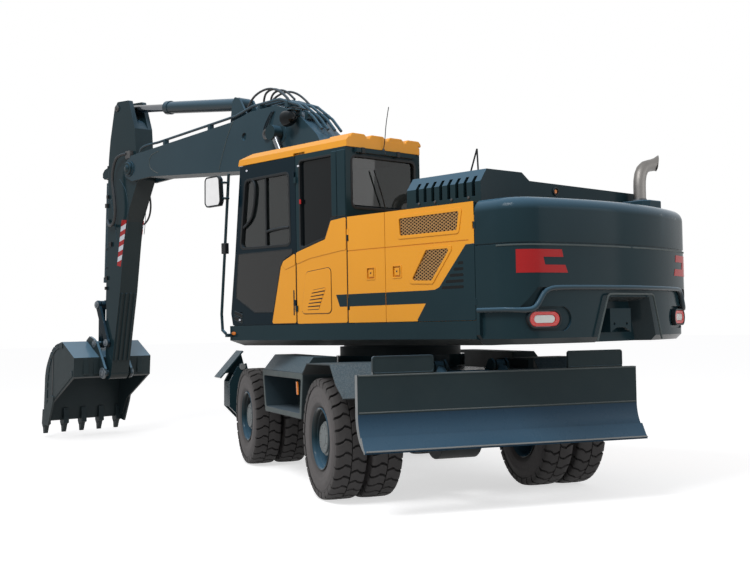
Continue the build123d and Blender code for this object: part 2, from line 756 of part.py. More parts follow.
# Upper deck: skirted frame with a bay for the boom, ring mount and boom foot brackets
with BuildPart() as upper_deck:
    plan_form(
        [
            (-deck_half, deck_join_y), (deck_half, deck_join_y), (deck_half, deck_front),
            (deck_bay_half + 60, deck_front), (deck_bay_half + 60, deck_bay_front),
            (cab_right + 10, deck_bay_front), (cab_right + 10, deck_front), (-deck_half, deck_front),
        ],
        deck_bottom, deck_top,
    )
    for side in (-1, 1):
        rear_form(
            [
                (side * (deck_half + 20), deck_bottom - 5),
                (side * (deck_half + 20), deck_bottom + skirt_chamfer),
                (side * deck_half, deck_bottom + skirt_chamfer),
                (side * (deck_half - skirt_inset), deck_bottom),
                (side * (deck_half - skirt_inset), deck_bottom - 5),
            ],
            deck_join_y - 5, deck_front + 5, mode=Mode.SUBTRACT,
        )
    post(0, 0, ring_top + running_gap, deck_bottom, ring_radius - 40)
    for side in (-1, 1):
        bracket_x = boom_x + side * (boom_foot_half + side_gap)
        side_form(
            [
                (-420, deck_top), (560, deck_top), (400, 1760), (boom_foot[0] + 130, boom_foot[1] + 60),
                (boom_foot[0] + 40, boom_foot[1] + 130), (boom_foot[0] - 90, boom_foot[1] + 110),
                (-300, 1700),
            ],
            bracket_x, bracket_x + side * 40,
        )
    for side in (-1, 1):
        lug_x = boom_x + side * boom_cyl_x
        for plate_side in (-1, 1):
            side_form(
                [
                    (deck_bay_front - 60, deck_bottom), (720, 1500), (720, 1620), (670, 1680),
                    (600, 1680), (540, 1640), (deck_bay_front - 60, deck_top),
                ],
                lug_x + plate_side * 74, lug_x + plate_side * (74 + 24),
            )
        cross_pin(lug_x - 98, lug_x + 98, boom_cyl_foot, cyl_pin_radius)
    cross_pin(
        boom_x - boom_foot_half - side_gap - 46, boom_x + boom_foot_half + side_gap + 46, boom_foot,
        boom_foot_pin,
    )
keep(upper_deck, "upper_deck", upper_place)

# Heights of the hinge knuckles: the fixed ones, and the doors' own just above them
side_hinge_heights = (1640.0, 2260.0)
door_hinge_heights = (1640.0, 2860.0)


def knuckles_above(heights):
    """The heights of the knuckles that turn, each on top of a fixed one."""
    return [z + hinge_length + running_gap for z in heights]


# Counterweight: bowed tail with rounded corners and crown, set back below a ledge
tail_middle_y = tail_curve - tail_reach
corner_x = deck_half - weight_corner
corner_y = tail_middle_y - math.sqrt((tail_curve - weight_corner) ** 2 - corner_x ** 2)
tail_lean = math.atan2(corner_x, tail_middle_y - corner_y)
weight_front = deck_join_y - seat_gap


def weight_outline():
    """Half arcs and corners of the tail's plan, as one closed line."""
    knee_x = corner_x + weight_corner * math.sin(tail_lean)
    knee_y = corner_y - weight_corner * math.cos(tail_lean)
    half_turn = (math.pi / 2 + tail_lean) / 2
    mid_x = corner_x + weight_corner * math.sin(half_turn)
    mid_y = corner_y - weight_corner * math.cos(half_turn)
    Line((-deck_half, weight_front), (deck_half, weight_front))
    Line((deck_half, weight_front), (deck_half, corner_y))
    ThreePointArc((deck_half, corner_y), (mid_x, mid_y), (knee_x, knee_y))
    ThreePointArc((knee_x, knee_y), (0, -tail_reach), (-knee_x, knee_y))
    ThreePointArc((-knee_x, knee_y), (-mid_x, mid_y), (-deck_half, corner_y))
    Line((-deck_half, corner_y), (-deck_half, weight_front))


def weight_rim(z0, z1, depth):
    """A band of the tail's outer skin, as deep as asked, between two heights."""
    with BuildSketch(Plane.XY.offset(z0)) as band:
        with BuildLine():
            weight_outline()
        make_face()
        offset(amount=-depth, mode=Mode.SUBTRACT)
        with Locations((0, weight_front + depth)):
            Rectangle(2 * deck_half, 4 * depth, mode=Mode.SUBTRACT)
    extrude(band.sketch, amount=z1 - z0)


# what the ledge leaves out of the tail's lower half
with BuildPart() as weight_recess:
    weight_rim(weight_bottom - 5, ledge_high, recess_depth)
    for side in (-1, 1):
        rear_form(
            [
                (side * (deck_half - 190), ledge_high + 5), (side * (deck_half - 40), ledge_low),
                (side * (deck_half + 20), ledge_low), (side * (deck_half + 20), ledge_high + 5),
            ],
            weight_front + 5, -tail_reach - 20, mode=Mode.SUBTRACT,
        )

with BuildPart() as weight_ridge:
    weight_rim(ridge_z, ridge_z + 12, 8)


def lamp_plane(side, shift, lift):
    """The plane of a tail lamp's back, moved along its length and out of its pocket."""
    turn = math.radians(lamp_turn)
    along = Vector(math.cos(turn), side * math.sin(turn), 0)
    outward = Vector(side * math.sin(turn), -math.cos(turn), 0)
    origin = Vector(side * lamp_at[0], lamp_at[1], lamp_at[2]) - along * side * shift + outward * lift
    return Plane(origin=origin, x_dir=along, z_dir=outward)


with BuildPart() as counterweight:
    with BuildSketch(Plane.XY.offset(weight_bottom)) as tail_plan:
        with BuildLine():
            weight_outline()
        make_face()
    extrude(tail_plan.sketch, amount=weight_top - weight_bottom)
    crown_edges = counterweight.faces().sort_by(Axis.Z)[-1].edges().sort_by(Axis.Y)[:-1]
    fillet(crown_edges, weight_crown)
    foot_edges = counterweight.faces().sort_by(Axis.Z)[0].edges().sort_by(Axis.Y)[:-1]
    chamfer(foot_edges, weight_chamfer)
    add(weight_recess.part, mode=Mode.SUBTRACT)
    add(weight_ridge.part, mode=Mode.SUBTRACT)
    # notch round the hitch, narrowing inward
    sections = []
    for notch_y, low_half, high_half, notch_top in (
        (-tail_reach - 10, 462, 324, 1702),
        (-2560, 350, 262, 1660),
    ):
        notch_plane = Plane(origin=(0, notch_y, 0), x_dir=(1, 0, 0), z_dir=(0, -1, 0))
        with BuildSketch(notch_plane) as notch_end:
            with BuildLine():
                Polyline(
                    (-low_half, weight_bottom - 5), (low_half, weight_bottom - 5), (high_half, notch_top),
                    (-high_half, notch_top), close=True,
                )
            make_face()
        sections.append(notch_end.sketch)
    loft(sections, ruled=True, mode=Mode.SUBTRACT)
    for side in (-1, 1):
        with BuildSketch(lamp_plane(side, lamp_pocket_shift, 0)) as pocket:
            SlotOverall(*lamp_pocket)
        extrude(pocket.sketch, amount=160, mode=Mode.SUBTRACT)
        block(side * 130, side * 150, -2660, -2555, 1400, 1600)
    rear_form(
        [(-150, 1400), (-60, 1440), (60, 1440), (150, 1400), (150, 1600), (-150, 1600)],
        -2660, -2660 + hitch_plate,
    )
    for side in (-1, 1):
        length_pin(
            side * hitch_bore_x, hitch_bore_z, -2661, -2659 + hitch_plate, hitch_bore, mode=Mode.SUBTRACT,
        )
    # fixed hinge knuckles for the side door ahead of it
    hinge_knuckles(cab_left, deck_join_y + side_gap, side_hinge_heights, weight_front - 12)
keep(counterweight, "counterweight", upper_place)

# Cab shell: floor, posts and walls with their windows cut, door side open
glass_left = cab_left + 24
door_shut_x = cab_left + door_panel + running_gap
door_edge = door_rear - 20
cab_side = [
    (cab_rear, deck_top), (cab_front, deck_top), (cab_front, 1640), (cab_waist_front, cab_waist_z),
    (cab_roof_front, cab_eave), (cab_rear, cab_eave),
]
cab_hollow = [
    (cab_rear + cab_wall, cab_floor_top), (cab_front - cab_wall, cab_floor_top),
    (cab_front - cab_wall, 1650), (cab_waist_front - cab_wall, cab_waist_z),
    (cab_roof_front - cab_wall, cab_eave + 5), (cab_rear + cab_wall, cab_eave + 5),
]
quarter_window = [
    (door_edge - 60, 3070), (-545, 3070), (-560, 2520), (-395, 2480), (-310, 2310), (door_edge - 60, 2230),
]
rear_window = (cab_left + 70, cab_right - 70, 2570, 3050)
louvre_box = [(-128, 1836), (-319, 1856), (-213, 1651), (-41, 1649)]
with BuildPart() as cab_shell:
    side_form(cab_side, cab_left, cab_right)
    side_form(cab_hollow, cab_left + cab_side_wall, cab_right - cab_wall, mode=Mode.SUBTRACT)
    # seat of the door, and the opening inside it
    side_form(
        [
            (door_edge - door_gap, deck_top - 5), (cab_front + 50, deck_top - 5),
            (cab_front + 50, cab_eave + 5), (door_edge - door_gap, cab_eave + 5),
        ],
        cab_left - 5, door_shut_x, mode=Mode.SUBTRACT,
    )
    side_form(
        [
            (door_rear + 40, 1600), (1110, 1600), (1075, 1990), (cab_waist_front - 70, cab_waist_z),
            (cab_roof_front - 70, cab_eave - 60), (door_rear + 40, cab_eave - 60),
        ],
        door_shut_x - 5, cab_left + cab_side_wall + 5, mode=Mode.SUBTRACT, corner=40,
    )
    side_form(
        quarter_window, cab_left - 5, cab_left + cab_side_wall + 5, mode=Mode.SUBTRACT, corner=30,
    )
    # right side windows
    side_form(
        [(-540, 3060), (cab_roof_front - 90, 3060), (cab_waist_front - 90, 2250), (1090, 1800), (-540, 1800)],
        cab_right - cab_wall - 5, cab_right + 5, mode=Mode.SUBTRACT, corner=window_corner,
    )
    # rear window and windscreen
    with BuildSketch(Plane(origin=(0, cab_rear - 5, 0), x_dir=(-1, 0, 0), z_dir=(0, 1, 0))) as pane:
        with Locations((-(rear_window[0] + rear_window[1]) / 2, (rear_window[2] + rear_window[3]) / 2)):
            RectangleRounded(rear_window[1] - rear_window[0], rear_window[3] - rear_window[2], window_corner)
    extrude(pane.sketch, amount=cab_wall + 10, mode=Mode.SUBTRACT)
    block(
        cab_left + cab_side_wall, cab_right - 70, 900, cab_front + 5, 1660, cab_eave - 60,
        mode=Mode.SUBTRACT,
    )
    # slatted vent of the box door in the lower side
    for slat in range(6):
        share = (slat + 0.5) / 6
        slat_z = 1656 + share * 186
        slat_front = -48 - share * 84
        block(
            cab_left - 5, cab_left + 14, slat_front - 168, slat_front, slat_z - 9, slat_z + 9,
            mode=Mode.SUBTRACT,
        )
    # light bar over the rear window
    block(cab_left + 110, cab_right - 90, cab_rear - 34, cab_rear + 5, 3078, 3117)
    hinge_knuckles(cab_left - door_axis_out, door_edge, door_hinge_heights, door_edge - door_gap - 20)
    for z in door_hinge_heights:
        block(
            cab_left - door_axis_out - 3, cab_left + 12, door_edge - door_gap - 20, door_edge - door_gap - 8,
            z, z + hinge_length,
        )
    hinge_knuckles(cab_left, seam_front, side_hinge_heights, cab_rear + 12)
keep(cab_shell, "cab_shell", upper_place)

# Cab roof: a thick cap with a sloping brim, a notch over the quarter pane and steps at the rear
with BuildPart() as cab_roof:
    roof_side = [
        (cab_rear - 10, cab_eave + running_gap), (cab_roof_front + 20, cab_eave + running_gap),
        (cab_roof_front, 3190), (cab_roof_front - 160, cab_roof_top), (cab_rear - 10, cab_roof_top),
    ]
    side_form(roof_side, cab_left + 5, cab_right - 5)
    for brim_x, lean in ((cab_left + 5, 1), (cab_right - 5, -1)):
        rear_form(
            [
                (brim_x - lean * 5, 3185), (brim_x, 3185), (brim_x + lean * 55, cab_roof_top + 5),
                (brim_x - lean * 5, cab_roof_top + 5),
            ],
            cab_rear - 15, cab_roof_front + 25, mode=Mode.SUBTRACT,
        )
    chamfer(cab_roof.faces().sort_by(Axis.Y)[0].edges().sort_by(Axis.Z)[-1], 22)
    for step_x in (-1130, -900, -670, -440):
        block(step_x, step_x + 110, cab_rear + 30, cab_rear + 150, cab_roof_top - 5, cab_roof_top + 18)
    block(
        cab_left - 5, cab_left + 40, -20, 150, cab_eave - 5, cab_eave + 22, mode=Mode.SUBTRACT,
    )
keep(cab_roof, "cab_roof", upper_place)

# Glass: windscreen, right side, rear and quarter panes
with BuildPart() as cab_glass:
    rear_pane = Plane(origin=(0, cab_rear + 20, 0), x_dir=(-1, 0, 0), z_dir=(0, 1, 0))
    with BuildSketch(rear_pane) as pane:
        with Locations((-(rear_window[0] + rear_window[1]) / 2, (rear_window[2] + rear_window[3]) / 2)):
            RectangleRounded(
                rear_window[1] - rear_window[0] - 2 * running_gap,
                rear_window[3] - rear_window[2] - 2 * running_gap, window_corner,
            )
    extrude(pane.sketch, amount=glass_thick)
    side_form(
        [(-539.7, 3059.7), (918.7, 3059.7), (1027.7, 2250), (1089.5, 1800.3), (-539.7, 1800.3)],
        cab_right - 34, cab_right - 28, corner=window_corner,
    )
    pane_front = door_edge - 60 - running_gap
    side_form(
        [
            (pane_front, 3069.7), (-544.7, 3069.7), (-559.7, 2520.3), (-394.7, 2480.3), (-309.7, 2310.3),
            (pane_front, 2230.3),
        ],
        glass_left, glass_left + glass_thick, corner=30,
    )
    side_form(
        [
            (1168, 1660.3), (1174, 1660.3), (1094, 2223), (993, 3064.7), (987, 3064.7), (1088, 2223),
        ],
        cab_left + cab_side_wall + running_gap, cab_right - 70 - running_gap,
    )
keep(cab_glass, "cab_glass", upper_place)

# Cab door: hinged at its rear edge, flush with the cab's side
door_upper_window = [(216, 2978), (910, 2972), (1009, 2287), (203, 2277)]
door_lower_window = [
    (346, 2097), (340, 1900), (479, 1647), (781, 1654), (1080, 1802), (1050, 2180), (420, 2180),
]
with BuildPart() as cab_door:
    door_outline = [
        (door_edge, deck_top + door_gap), (1150, deck_top + door_gap), (1178, 1640), (1096, 2223),
        (990, cab_eave - 8), (door_edge, cab_eave - 8),
    ]
    side_form(door_outline, cab_left, cab_left + door_panel)
    side_form(
        door_upper_window, cab_left - 5, cab_left + door_panel + 5, mode=Mode.SUBTRACT, corner=window_corner,
    )
    side_form(
        door_lower_window, cab_left - 5, cab_left + door_panel + 5, mode=Mode.SUBTRACT, corner=20,
    )
    # corner vent, handle and the grab bar inside the window
    for vent_low in (1580, 1625):
        side_form(
            [(1010, vent_low), (1110, vent_low), (1080, vent_low + 26), (980, vent_low + 26)],
            cab_left - 5, cab_left + 16, mode=Mode.SUBTRACT,
        )
    side_form(
        [(165, 1605), (183, 1605), (183, 1845), (165, 1845)],
        cab_left - 5, cab_left + 18, mode=Mode.SUBTRACT,
    )
    block(cab_left + door_panel - 14, cab_left + door_panel, 590, 612, 2270, 2985)
    hinge_knuckles(
        cab_left - door_axis_out, door_edge, knuckles_above(door_hinge_heights), door_edge + 18,
    )
    for z in knuckles_above(door_hinge_heights):
        block(
            cab_left - door_axis_out - 3, cab_left + 12, door_edge + 8, door_edge + 18, z, z + hinge_length,
        )
keep(cab_door, "cab_door", upper_place)

door_glass_x = cab_left + 22
with BuildPart() as door_glass:
    for window, corner in ((door_upper_window, window_corner), (door_lower_window, 20)):
        with BuildSketch(Plane.YZ.offset(door_glass_x)) as pane:
            with BuildLine():
                Polyline(*window, close=True)
            make_face()
            fillet(pane.vertices(), corner)
            offset(amount=-running_gap, mode=Mode.REPLACE)
        extrude(pane.sketch, amount=glass_thick)
keep(door_glass, "door_glass", upper_place)

# Operator's seat and controls
seat_x = (cab_left + cab_right) / 2
with BuildPart() as seat_base:
    block(seat_x - 230, seat_x + 230, -120, 330, cab_floor_top + running_gap, 1840)
    for side in (-1, 1):
        block(seat_x + side * 262, seat_x + side * 372, -260, 420, cab_floor_top + running_gap, 2040)
keep(seat_base, "seat_base", upper_place)

with BuildPart() as seat_cushions:
    block(seat_x - 250, seat_x + 250, -130, 380, 1840 + running_gap, 1960)
    side_form(
        [(-130, 1960.3), (0, 1960.3), (-90, 2560), (-210, 2560)], seat_x - 240, seat_x + 240,
    )
    # headrest on its neck
    block(seat_x - 60, seat_x + 60, -195, -135, 2540, 2620)
    side_form([(-225, 2600), (-125, 2600), (-145, 2780), (-215, 2780)], seat_x - 150, seat_x + 150)
keep(seat_cushions, "seat_cushions", upper_place)

with BuildPart() as cab_controls:
    post(seat_x, 980, cab_floor_top + running_gap, cab_floor_top + 60, 70)
    round_bar((seat_x, 980, cab_floor_top + 40), (seat_x, 800, 2130), 45)
    with BuildSketch(Plane(origin=(seat_x, 800, 2120), z_dir=(0, -180, 560))):
        Circle(190)
        Circle(165, mode=Mode.SUBTRACT)
        Rectangle(360, 30)
    extrude(amount=26)
    for side in (-1, 1):
        lever_x = seat_x + side * 317
        post(lever_x, 300, 2040 + running_gap, 2060, 40)
        round_bar((lever_x, 300, 2050), (lever_x, 340, 2230), 22)
keep(cab_controls, "cab_controls", upper_place)

# Line on which the hood turns
hood_axis_y = hood_front + hood_axis_out
hood_axis_z = house_top + hood_axis_out

# Left housing under and behind the cab door, with the hood's fixed knuckles on top
with BuildPart() as left_housing:
    side_form(
        [
            (deck_join_y + 32, deck_top + running_gap), (cab_rear - 30, deck_top + running_gap),
            (cab_rear - 30, house_top), (deck_join_y + 32, house_top),
        ],
        cab_left + house_wall + seat_gap, -420,
    )
    cross_pin(hood_hinge_xs[0] - 80, hood_hinge_xs[0], (hood_axis_y, hood_axis_z), hood_axis_out - 3)
    block(
        hood_hinge_xs[0] - 80, hood_hinge_xs[0], hood_axis_y - 4, hood_axis_y + 4, house_top - 5,
        hood_axis_z,
    )
keep(left_housing, "left_housing", upper_place)

# Side doors of the left housing: latch wells, creases, grilles and vents
latch_z = 1954.0
crease_z = 2170.0


def latch_well(y):
    """A square well in the door's skin with its latch inside."""
    block(cab_left - 5, cab_left + 12, y - 52, y + 52, latch_z - 52, latch_z + 52, mode=Mode.SUBTRACT)
    block(cab_left + 4, cab_left + 14, y - 32, y + 32, latch_z - 34, latch_z + 34)


def knuckle_wells(x, y, reach):
    """Notches in a door's edge that leave room for the fixed knuckles."""
    for z in side_hinge_heights:
        block(x - 20, x + 14, y, y + reach, z - 2, z + hinge_length + running_gap, mode=Mode.SUBTRACT)


with BuildPart() as side_door_front:
    block(
        cab_left, cab_left + house_wall, seam_middle + door_gap / 2, seam_front,
        deck_top + door_gap, house_top,
    )
    block(
        cab_left - 5, cab_left + 6, seam_middle, seam_front + 5, crease_z - 5, crease_z + 5,
        mode=Mode.SUBTRACT,
    )
    latch_well(-912)
    knuckle_wells(cab_left, seam_front, -16)
    hinge_knuckles(cab_left, seam_front, knuckles_above(side_hinge_heights), seam_front - 20)
keep(side_door_front, "side_door_front", upper_place)

upper_grille = [(-1265, 2420), (-1275, 2246), (-1960, 2246), (-1995, 2427)]
lower_grille = [(-1589, 2131), (-1894, 2128), (-1661, 1846), (-1394, 1857)]
with BuildPart() as side_door_rear:
    door_end = deck_join_y + side_gap
    block(
        cab_left, cab_left + house_wall, door_end, seam_middle - door_gap / 2,
        deck_top + door_gap, house_top,
    )
    block(
        cab_left - 5, cab_left + 6, door_end + 60, seam_middle + 5, crease_z - 5, crease_z + 5,
        mode=Mode.SUBTRACT,
    )
    latch_well(-1241)
    for mesh_outline in (upper_grille, lower_grille):
        side_form(mesh_outline, cab_left - 5, cab_left + house_wall + 5, mode=Mode.SUBTRACT)
        grille(mesh_outline, cab_left + 10, cab_left + 10 + grille_thick)
    # five vent slots, shorter toward the top
    for slot in range(5):
        slot_z = 1800 + slot * 46
        block(
            cab_left - 5, cab_left + 16, -1978, -1830 - slot * 28, slot_z - 9, slot_z + 9,
            mode=Mode.SUBTRACT,
        )
    knuckle_wells(cab_left, door_end, 16)
    hinge_knuckles(cab_left, door_end, knuckles_above(side_hinge_heights), door_end + 20)
keep(side_door_rear, "side_door_rear", upper_place)

# Right housing: fuel and oil tanks with the pump bay behind
with BuildPart() as right_housing:
    block(right_inner, deck_half, right_seam, 560, deck_top + running_gap, house_top)
    tank_edges = right_housing.edges().filter_by(Axis.Y).group_by(Axis.Z)[-1]
    chamfer(tank_edges.sort_by(Axis.X)[-1], 45)
    side_form(
        [
            (555, deck_top + running_gap), (1150, deck_top + running_gap), (1150, 1900), (1080, 1980),
            (555, 1980),
        ],
        right_inner + 60, deck_half,
    )
    block(
        right_inner, deck_half - house_wall - seat_gap, deck_join_y + 40, right_seam + 5,
        deck_top + running_gap, house_top,
    )
    hinge_knuckles(deck_half, right_seam - door_gap, side_hinge_heights, right_seam + 12)
    cross_pin(hood_hinge_xs[1] - 80, hood_hinge_xs[1], (hood_axis_y, hood_axis_z), hood_axis_out - 3)
    block(
        hood_hinge_xs[1] - 80, hood_hinge_xs[1], hood_axis_y - 4, hood_axis_y + 4, house_top - 5,
        hood_axis_z,
    )
keep(right_housing, "right_housing", upper_place)

with BuildPart() as side_door_right:
    door_front = right_seam - door_gap
    block(
        deck_half - house_wall, deck_half, deck_join_y + side_gap, door_front,
        deck_top + door_gap, house_top,
    )
    for z in side_hinge_heights:
        block(
            deck_half - 14, deck_half + 20, door_front - 16, door_front + 5, z - 2,
            z + hinge_length + running_gap, mode=Mode.SUBTRACT,
        )
    hinge_knuckles(deck_half, door_front, knuckles_above(side_hinge_heights), door_front - 20)
keep(side_door_right, "side_door_right", upper_place)

# Engine and its hood
with BuildPart() as engine_block:
    block(-400, 400, deck_join_y + 80, hood_front + 30, deck_top + running_gap, 2440)
keep(engine_block, "engine_block", upper_place)

hood_profile = [
    (hood_left, house_top + seat_gap), (hood_left, 2655), (hood_left + 80, 2762), (-600, 2765),
    (-500, 2700), (hood_right - 80, 2690), (hood_right, 2620), (hood_right, house_top + seat_gap),
]
hood_inside = [
    (hood_left + hood_wall, house_top - 5), (hood_left + hood_wall, 2645),
    (hood_left + 95, 2732), (-612, 2735), (-512, 2670), (hood_right - 92, 2660),
    (hood_right - hood_wall, 2608), (hood_right - hood_wall, house_top - 5),
]
with BuildPart() as engine_hood:
    rear_form(hood_profile, hood_rear, hood_front)
    chamfer(engine_hood.faces().sort_by(Axis.Y)[-1].edges().filter_by(Axis.X).sort_by(Axis.Z)[-2:], 25)
    rear_form(hood_inside, hood_rear + hood_wall, hood_front - hood_wall, mode=Mode.SUBTRACT)
    # upright air slots in the left side
    for slot in range(louvre_count):
        slot_y = hood_front - 110 - slot * louvre_pitch
        block(
            hood_left - 5, hood_left + 120, slot_y - louvre_width, slot_y, 2535, 2705,
            mode=Mode.SUBTRACT,
        )
    for hinge_x in hood_hinge_xs:
        cross_pin(hinge_x + 1, hinge_x + 80, (hood_axis_y, hood_axis_z), hood_axis_out - 3)
        block(hinge_x + 1, hinge_x + 80, hood_front - 6, hood_axis_y, hood_axis_z - 4, hood_axis_z + 4)
keep(engine_hood, "engine_hood", upper_place)

# Exhaust: bent pipe with its open outlet cut on a slant
exhaust_radius = 58.0
exhaust_foot = Vector(1000, deck_join_y - 80, weight_top + running_gap)
exhaust_bend = [exhaust_foot + Vector(0, 0, 330), exhaust_foot + Vector(45, 0, 425)]
exhaust_end = exhaust_foot + Vector(360, 0, 570)
with BuildPart() as exhaust:
    exhaust_points = [exhaust_foot, *exhaust_bend, exhaust_end]
    for start, end in zip(exhaust_points, exhaust_points[1:]):
        round_bar(start, end, exhaust_radius)
    for bend in exhaust_bend:
        with Locations(bend):
            Sphere(exhaust_radius)
    round_bar(exhaust_bend[-1] + Vector(110, 0, 51), exhaust_end, exhaust_radius - 5, mode=Mode.SUBTRACT)
    slant = Plane(origin=exhaust_end - Vector(60, 0, -20), x_dir=(0, 1, 0), z_dir=(-0.1, 0, 1))
    with BuildSketch(slant) as cut:
        Rectangle(400, 400)
    extrude(cut.sketch, amount=300, mode=Mode.SUBTRACT)
keep(exhaust, "exhaust", upper_place)

# Mirror on its pole, and the handrail of the tank
pole_x = cab_left - 48
mirror_half = 22.0
with BuildPart() as handrails:
    bent_bar([(pole_x, 1205, 1440), (pole_x, 1262, 1475), (pole_x, 1275, 1640), (pole_x, 1120, 3060)], 16)
    block(pole_x - 16, cab_left - running_gap, 1150, deck_front, 1405, 1440)
    side_form(
        [
            (1175, 2735), (1150, 2780), (1165, 3010), (1195, 3040),
            (1390, 3040), (1415, 3010), (1420, 2770), (1385, 2735),
        ],
        pole_x - 62 - mirror_half, pole_x - 62 + mirror_half,
    )
    for arm_z in (2800, 2960):
        block(pole_x - 60, pole_x + 8, 1120, 1200, arm_z, arm_z + 18)
    rail_foot = house_top + running_gap
    bent_bar(
        [
            (1180, 1080, 1980 + running_gap), (1180, 1080, 2660), (1180, 1020, 2720), (1180, 560, 2720),
            (1180, 500, 2660), (1180, 500, rail_foot),
        ],
        18,
    )
keep(handrails, "handrails", upper_place)

# Tail lamps in their pockets
with BuildPart() as lamps:
    for side in (-1, 1):
        with BuildSketch(lamp_plane(side, 0, running_gap)) as lens:
            SlotOverall(*lamp_size)
        extrude(lens.sketch, amount=lamp_thick)
        with BuildSketch(lamp_plane(side, 0, lamp_thick - 8)) as window:
            SlotOverall(lamp_size[0] - 110, lamp_size[1] - 80)
        extrude(window.sketch, amount=20, mode=Mode.SUBTRACT)
keep(lamps, "lamps", upper_place)

# Boom: bent box from the foot to the forked tip
boom_outline = [
    (boom_foot[0] - 120, boom_foot[1] + 60), (boom_foot[0] - 20, boom_foot[1] - 130),
    (boom_foot[0] + 150, boom_foot[1] - 60), (1640, 2960), (1980, 3200), (2573, 3345),
    (4528, 3496), (boom_tip[0] - 60, 3480), (boom_tip[0] + 120, 3560), (boom_tip[0] + 120, 3740),
    (boom_tip[0] - 40, 3825), (4578, 3848), (2672, 3949), (2335, 4013), (1848, 4016), (1508, 3903),
    (1146, 3596),
]
boom_light_at = (2455.0, 3740.0)
with BuildPart() as boom:
    side_form(boom_outline, boom_x - boom_half, boom_x + boom_half, corner=boom_corner)
    cross_pin(boom_x - boom_foot_half, boom_x + boom_foot_half, boom_foot, 110)
    cross_pin(
        boom_x - boom_foot_half - 5, boom_x + boom_foot_half + 5, boom_foot,
        boom_foot_pin + running_gap, mode=Mode.SUBTRACT,
    )
    # round castings at the lift cylinders' pin, and the round light well ahead of them
    cross_pin(boom_x - boom_half - 6, boom_x + boom_half + 6, boom_cyl_eye, 120)
    for side in (-1, 1):
        cross_pin(
            boom_x + side * (boom_half - 30), boom_x + side * (boom_half + 5), boom_light_at, 46,
            mode=Mode.SUBTRACT,
        )
    # slot of the forked tip for the arm's boss
    block(
        boom_x - arm_half - 8, boom_x + arm_half + 8, boom_tip[0] - fork_depth, boom_tip[0] + 200,
        3400, 3900, mode=Mode.SUBTRACT,
    )
    for side in (-1, 1):
        cross_pin(boom_x + side * (boom_half - 5), boom_x + side * (boom_half + 14), boom_tip, 105)
        side_form(
            [
                (arm_cyl_foot[0] - 260, 3940), (arm_cyl_foot[0] + 120, 3930),
                (arm_cyl_foot[0] + 75, arm_cyl_foot[1] + 20), (arm_cyl_foot[0] + 20, arm_cyl_foot[1] + 80),
                (arm_cyl_foot[0] - 70, arm_cyl_foot[1] + 50),
            ],
            boom_x + side * 84, boom_x + side * 112, corner=16,
        )
    cross_pin(boom_x - 112, boom_x + 112, arm_cyl_foot, cyl_pin_radius)
    cross_pin(boom_x - boom_half - 20, boom_x + boom_half + 20, boom_tip, tip_pin_radius)
keep(boom, "boom", upper_place)

# Oil pipes over the boom: an outer pair to the tip, an inner pair to the block at the bend
pipe_run = [
    (1110, 3650), (1250, 3800), (1500, 3975), (1840, 4092), (2345, 4088), (2680, 4022), (3300, 3988),
    (4420, 3929),
]
pipe_radius = 17.0
pipe_xs = (-140.0, -50.0, 50.0, 140.0)
bend_block_y = 2230.0
with BuildPart() as boom_pipes:
    for pipe_x in pipe_xs:
        if abs(pipe_x) > 100:
            bent_bar([(boom_x + pipe_x, y, z) for y, z in pipe_run], pipe_radius)
        else:
            inner_run = [(y, z) for y, z in pipe_run if y < bend_block_y] + [(bend_block_y, 4089)]
            bent_bar([(boom_x + pipe_x, y, z) for y, z in inner_run], pipe_radius)
    for clamp_y, reach in ((1350, 160), (1700, 160), (bend_block_y - 20, 160), (3200, 0), (4200, 0)):
        foot_z = max(line_height(boom_outline, clamp_y - 25), line_height(boom_outline, clamp_y + 25))
        clamp_top = line_height(pipe_run, clamp_y)
        if reach:
            block(boom_x - reach, boom_x + reach, clamp_y - 25, clamp_y + 25, foot_z + seat_gap, clamp_top)
        else:
            for side in (-1, 1):
                pipe_x = boom_x + side * pipe_xs[-1]
                block(
                    pipe_x - 30, pipe_x + 30, clamp_y - 25, clamp_y + 25, foot_z + seat_gap, clamp_top,
                )
keep(boom_pipes, "boom_pipes", upper_place)

with BuildPart() as boom_barrels:
    for side in (-1, 1):
        cylinder_barrel(
            boom_x + side * boom_cyl_x, boom_cyl_foot, boom_cyl_eye, boom_cyl_length, boom_cyl_radius,
            62, boom_rod_radius, cyl_pin_radius,
        )
keep(boom_barrels, "boom_barrels", upper_place)

with BuildPart() as boom_rods:
    for side in (-1, 1):
        cylinder_rod(
            boom_x + side * boom_cyl_x, boom_cyl_foot, boom_cyl_eye, boom_rod_root, boom_rod_radius,
            55, 85,
        )
keep(boom_rods, "boom_rods", upper_place)

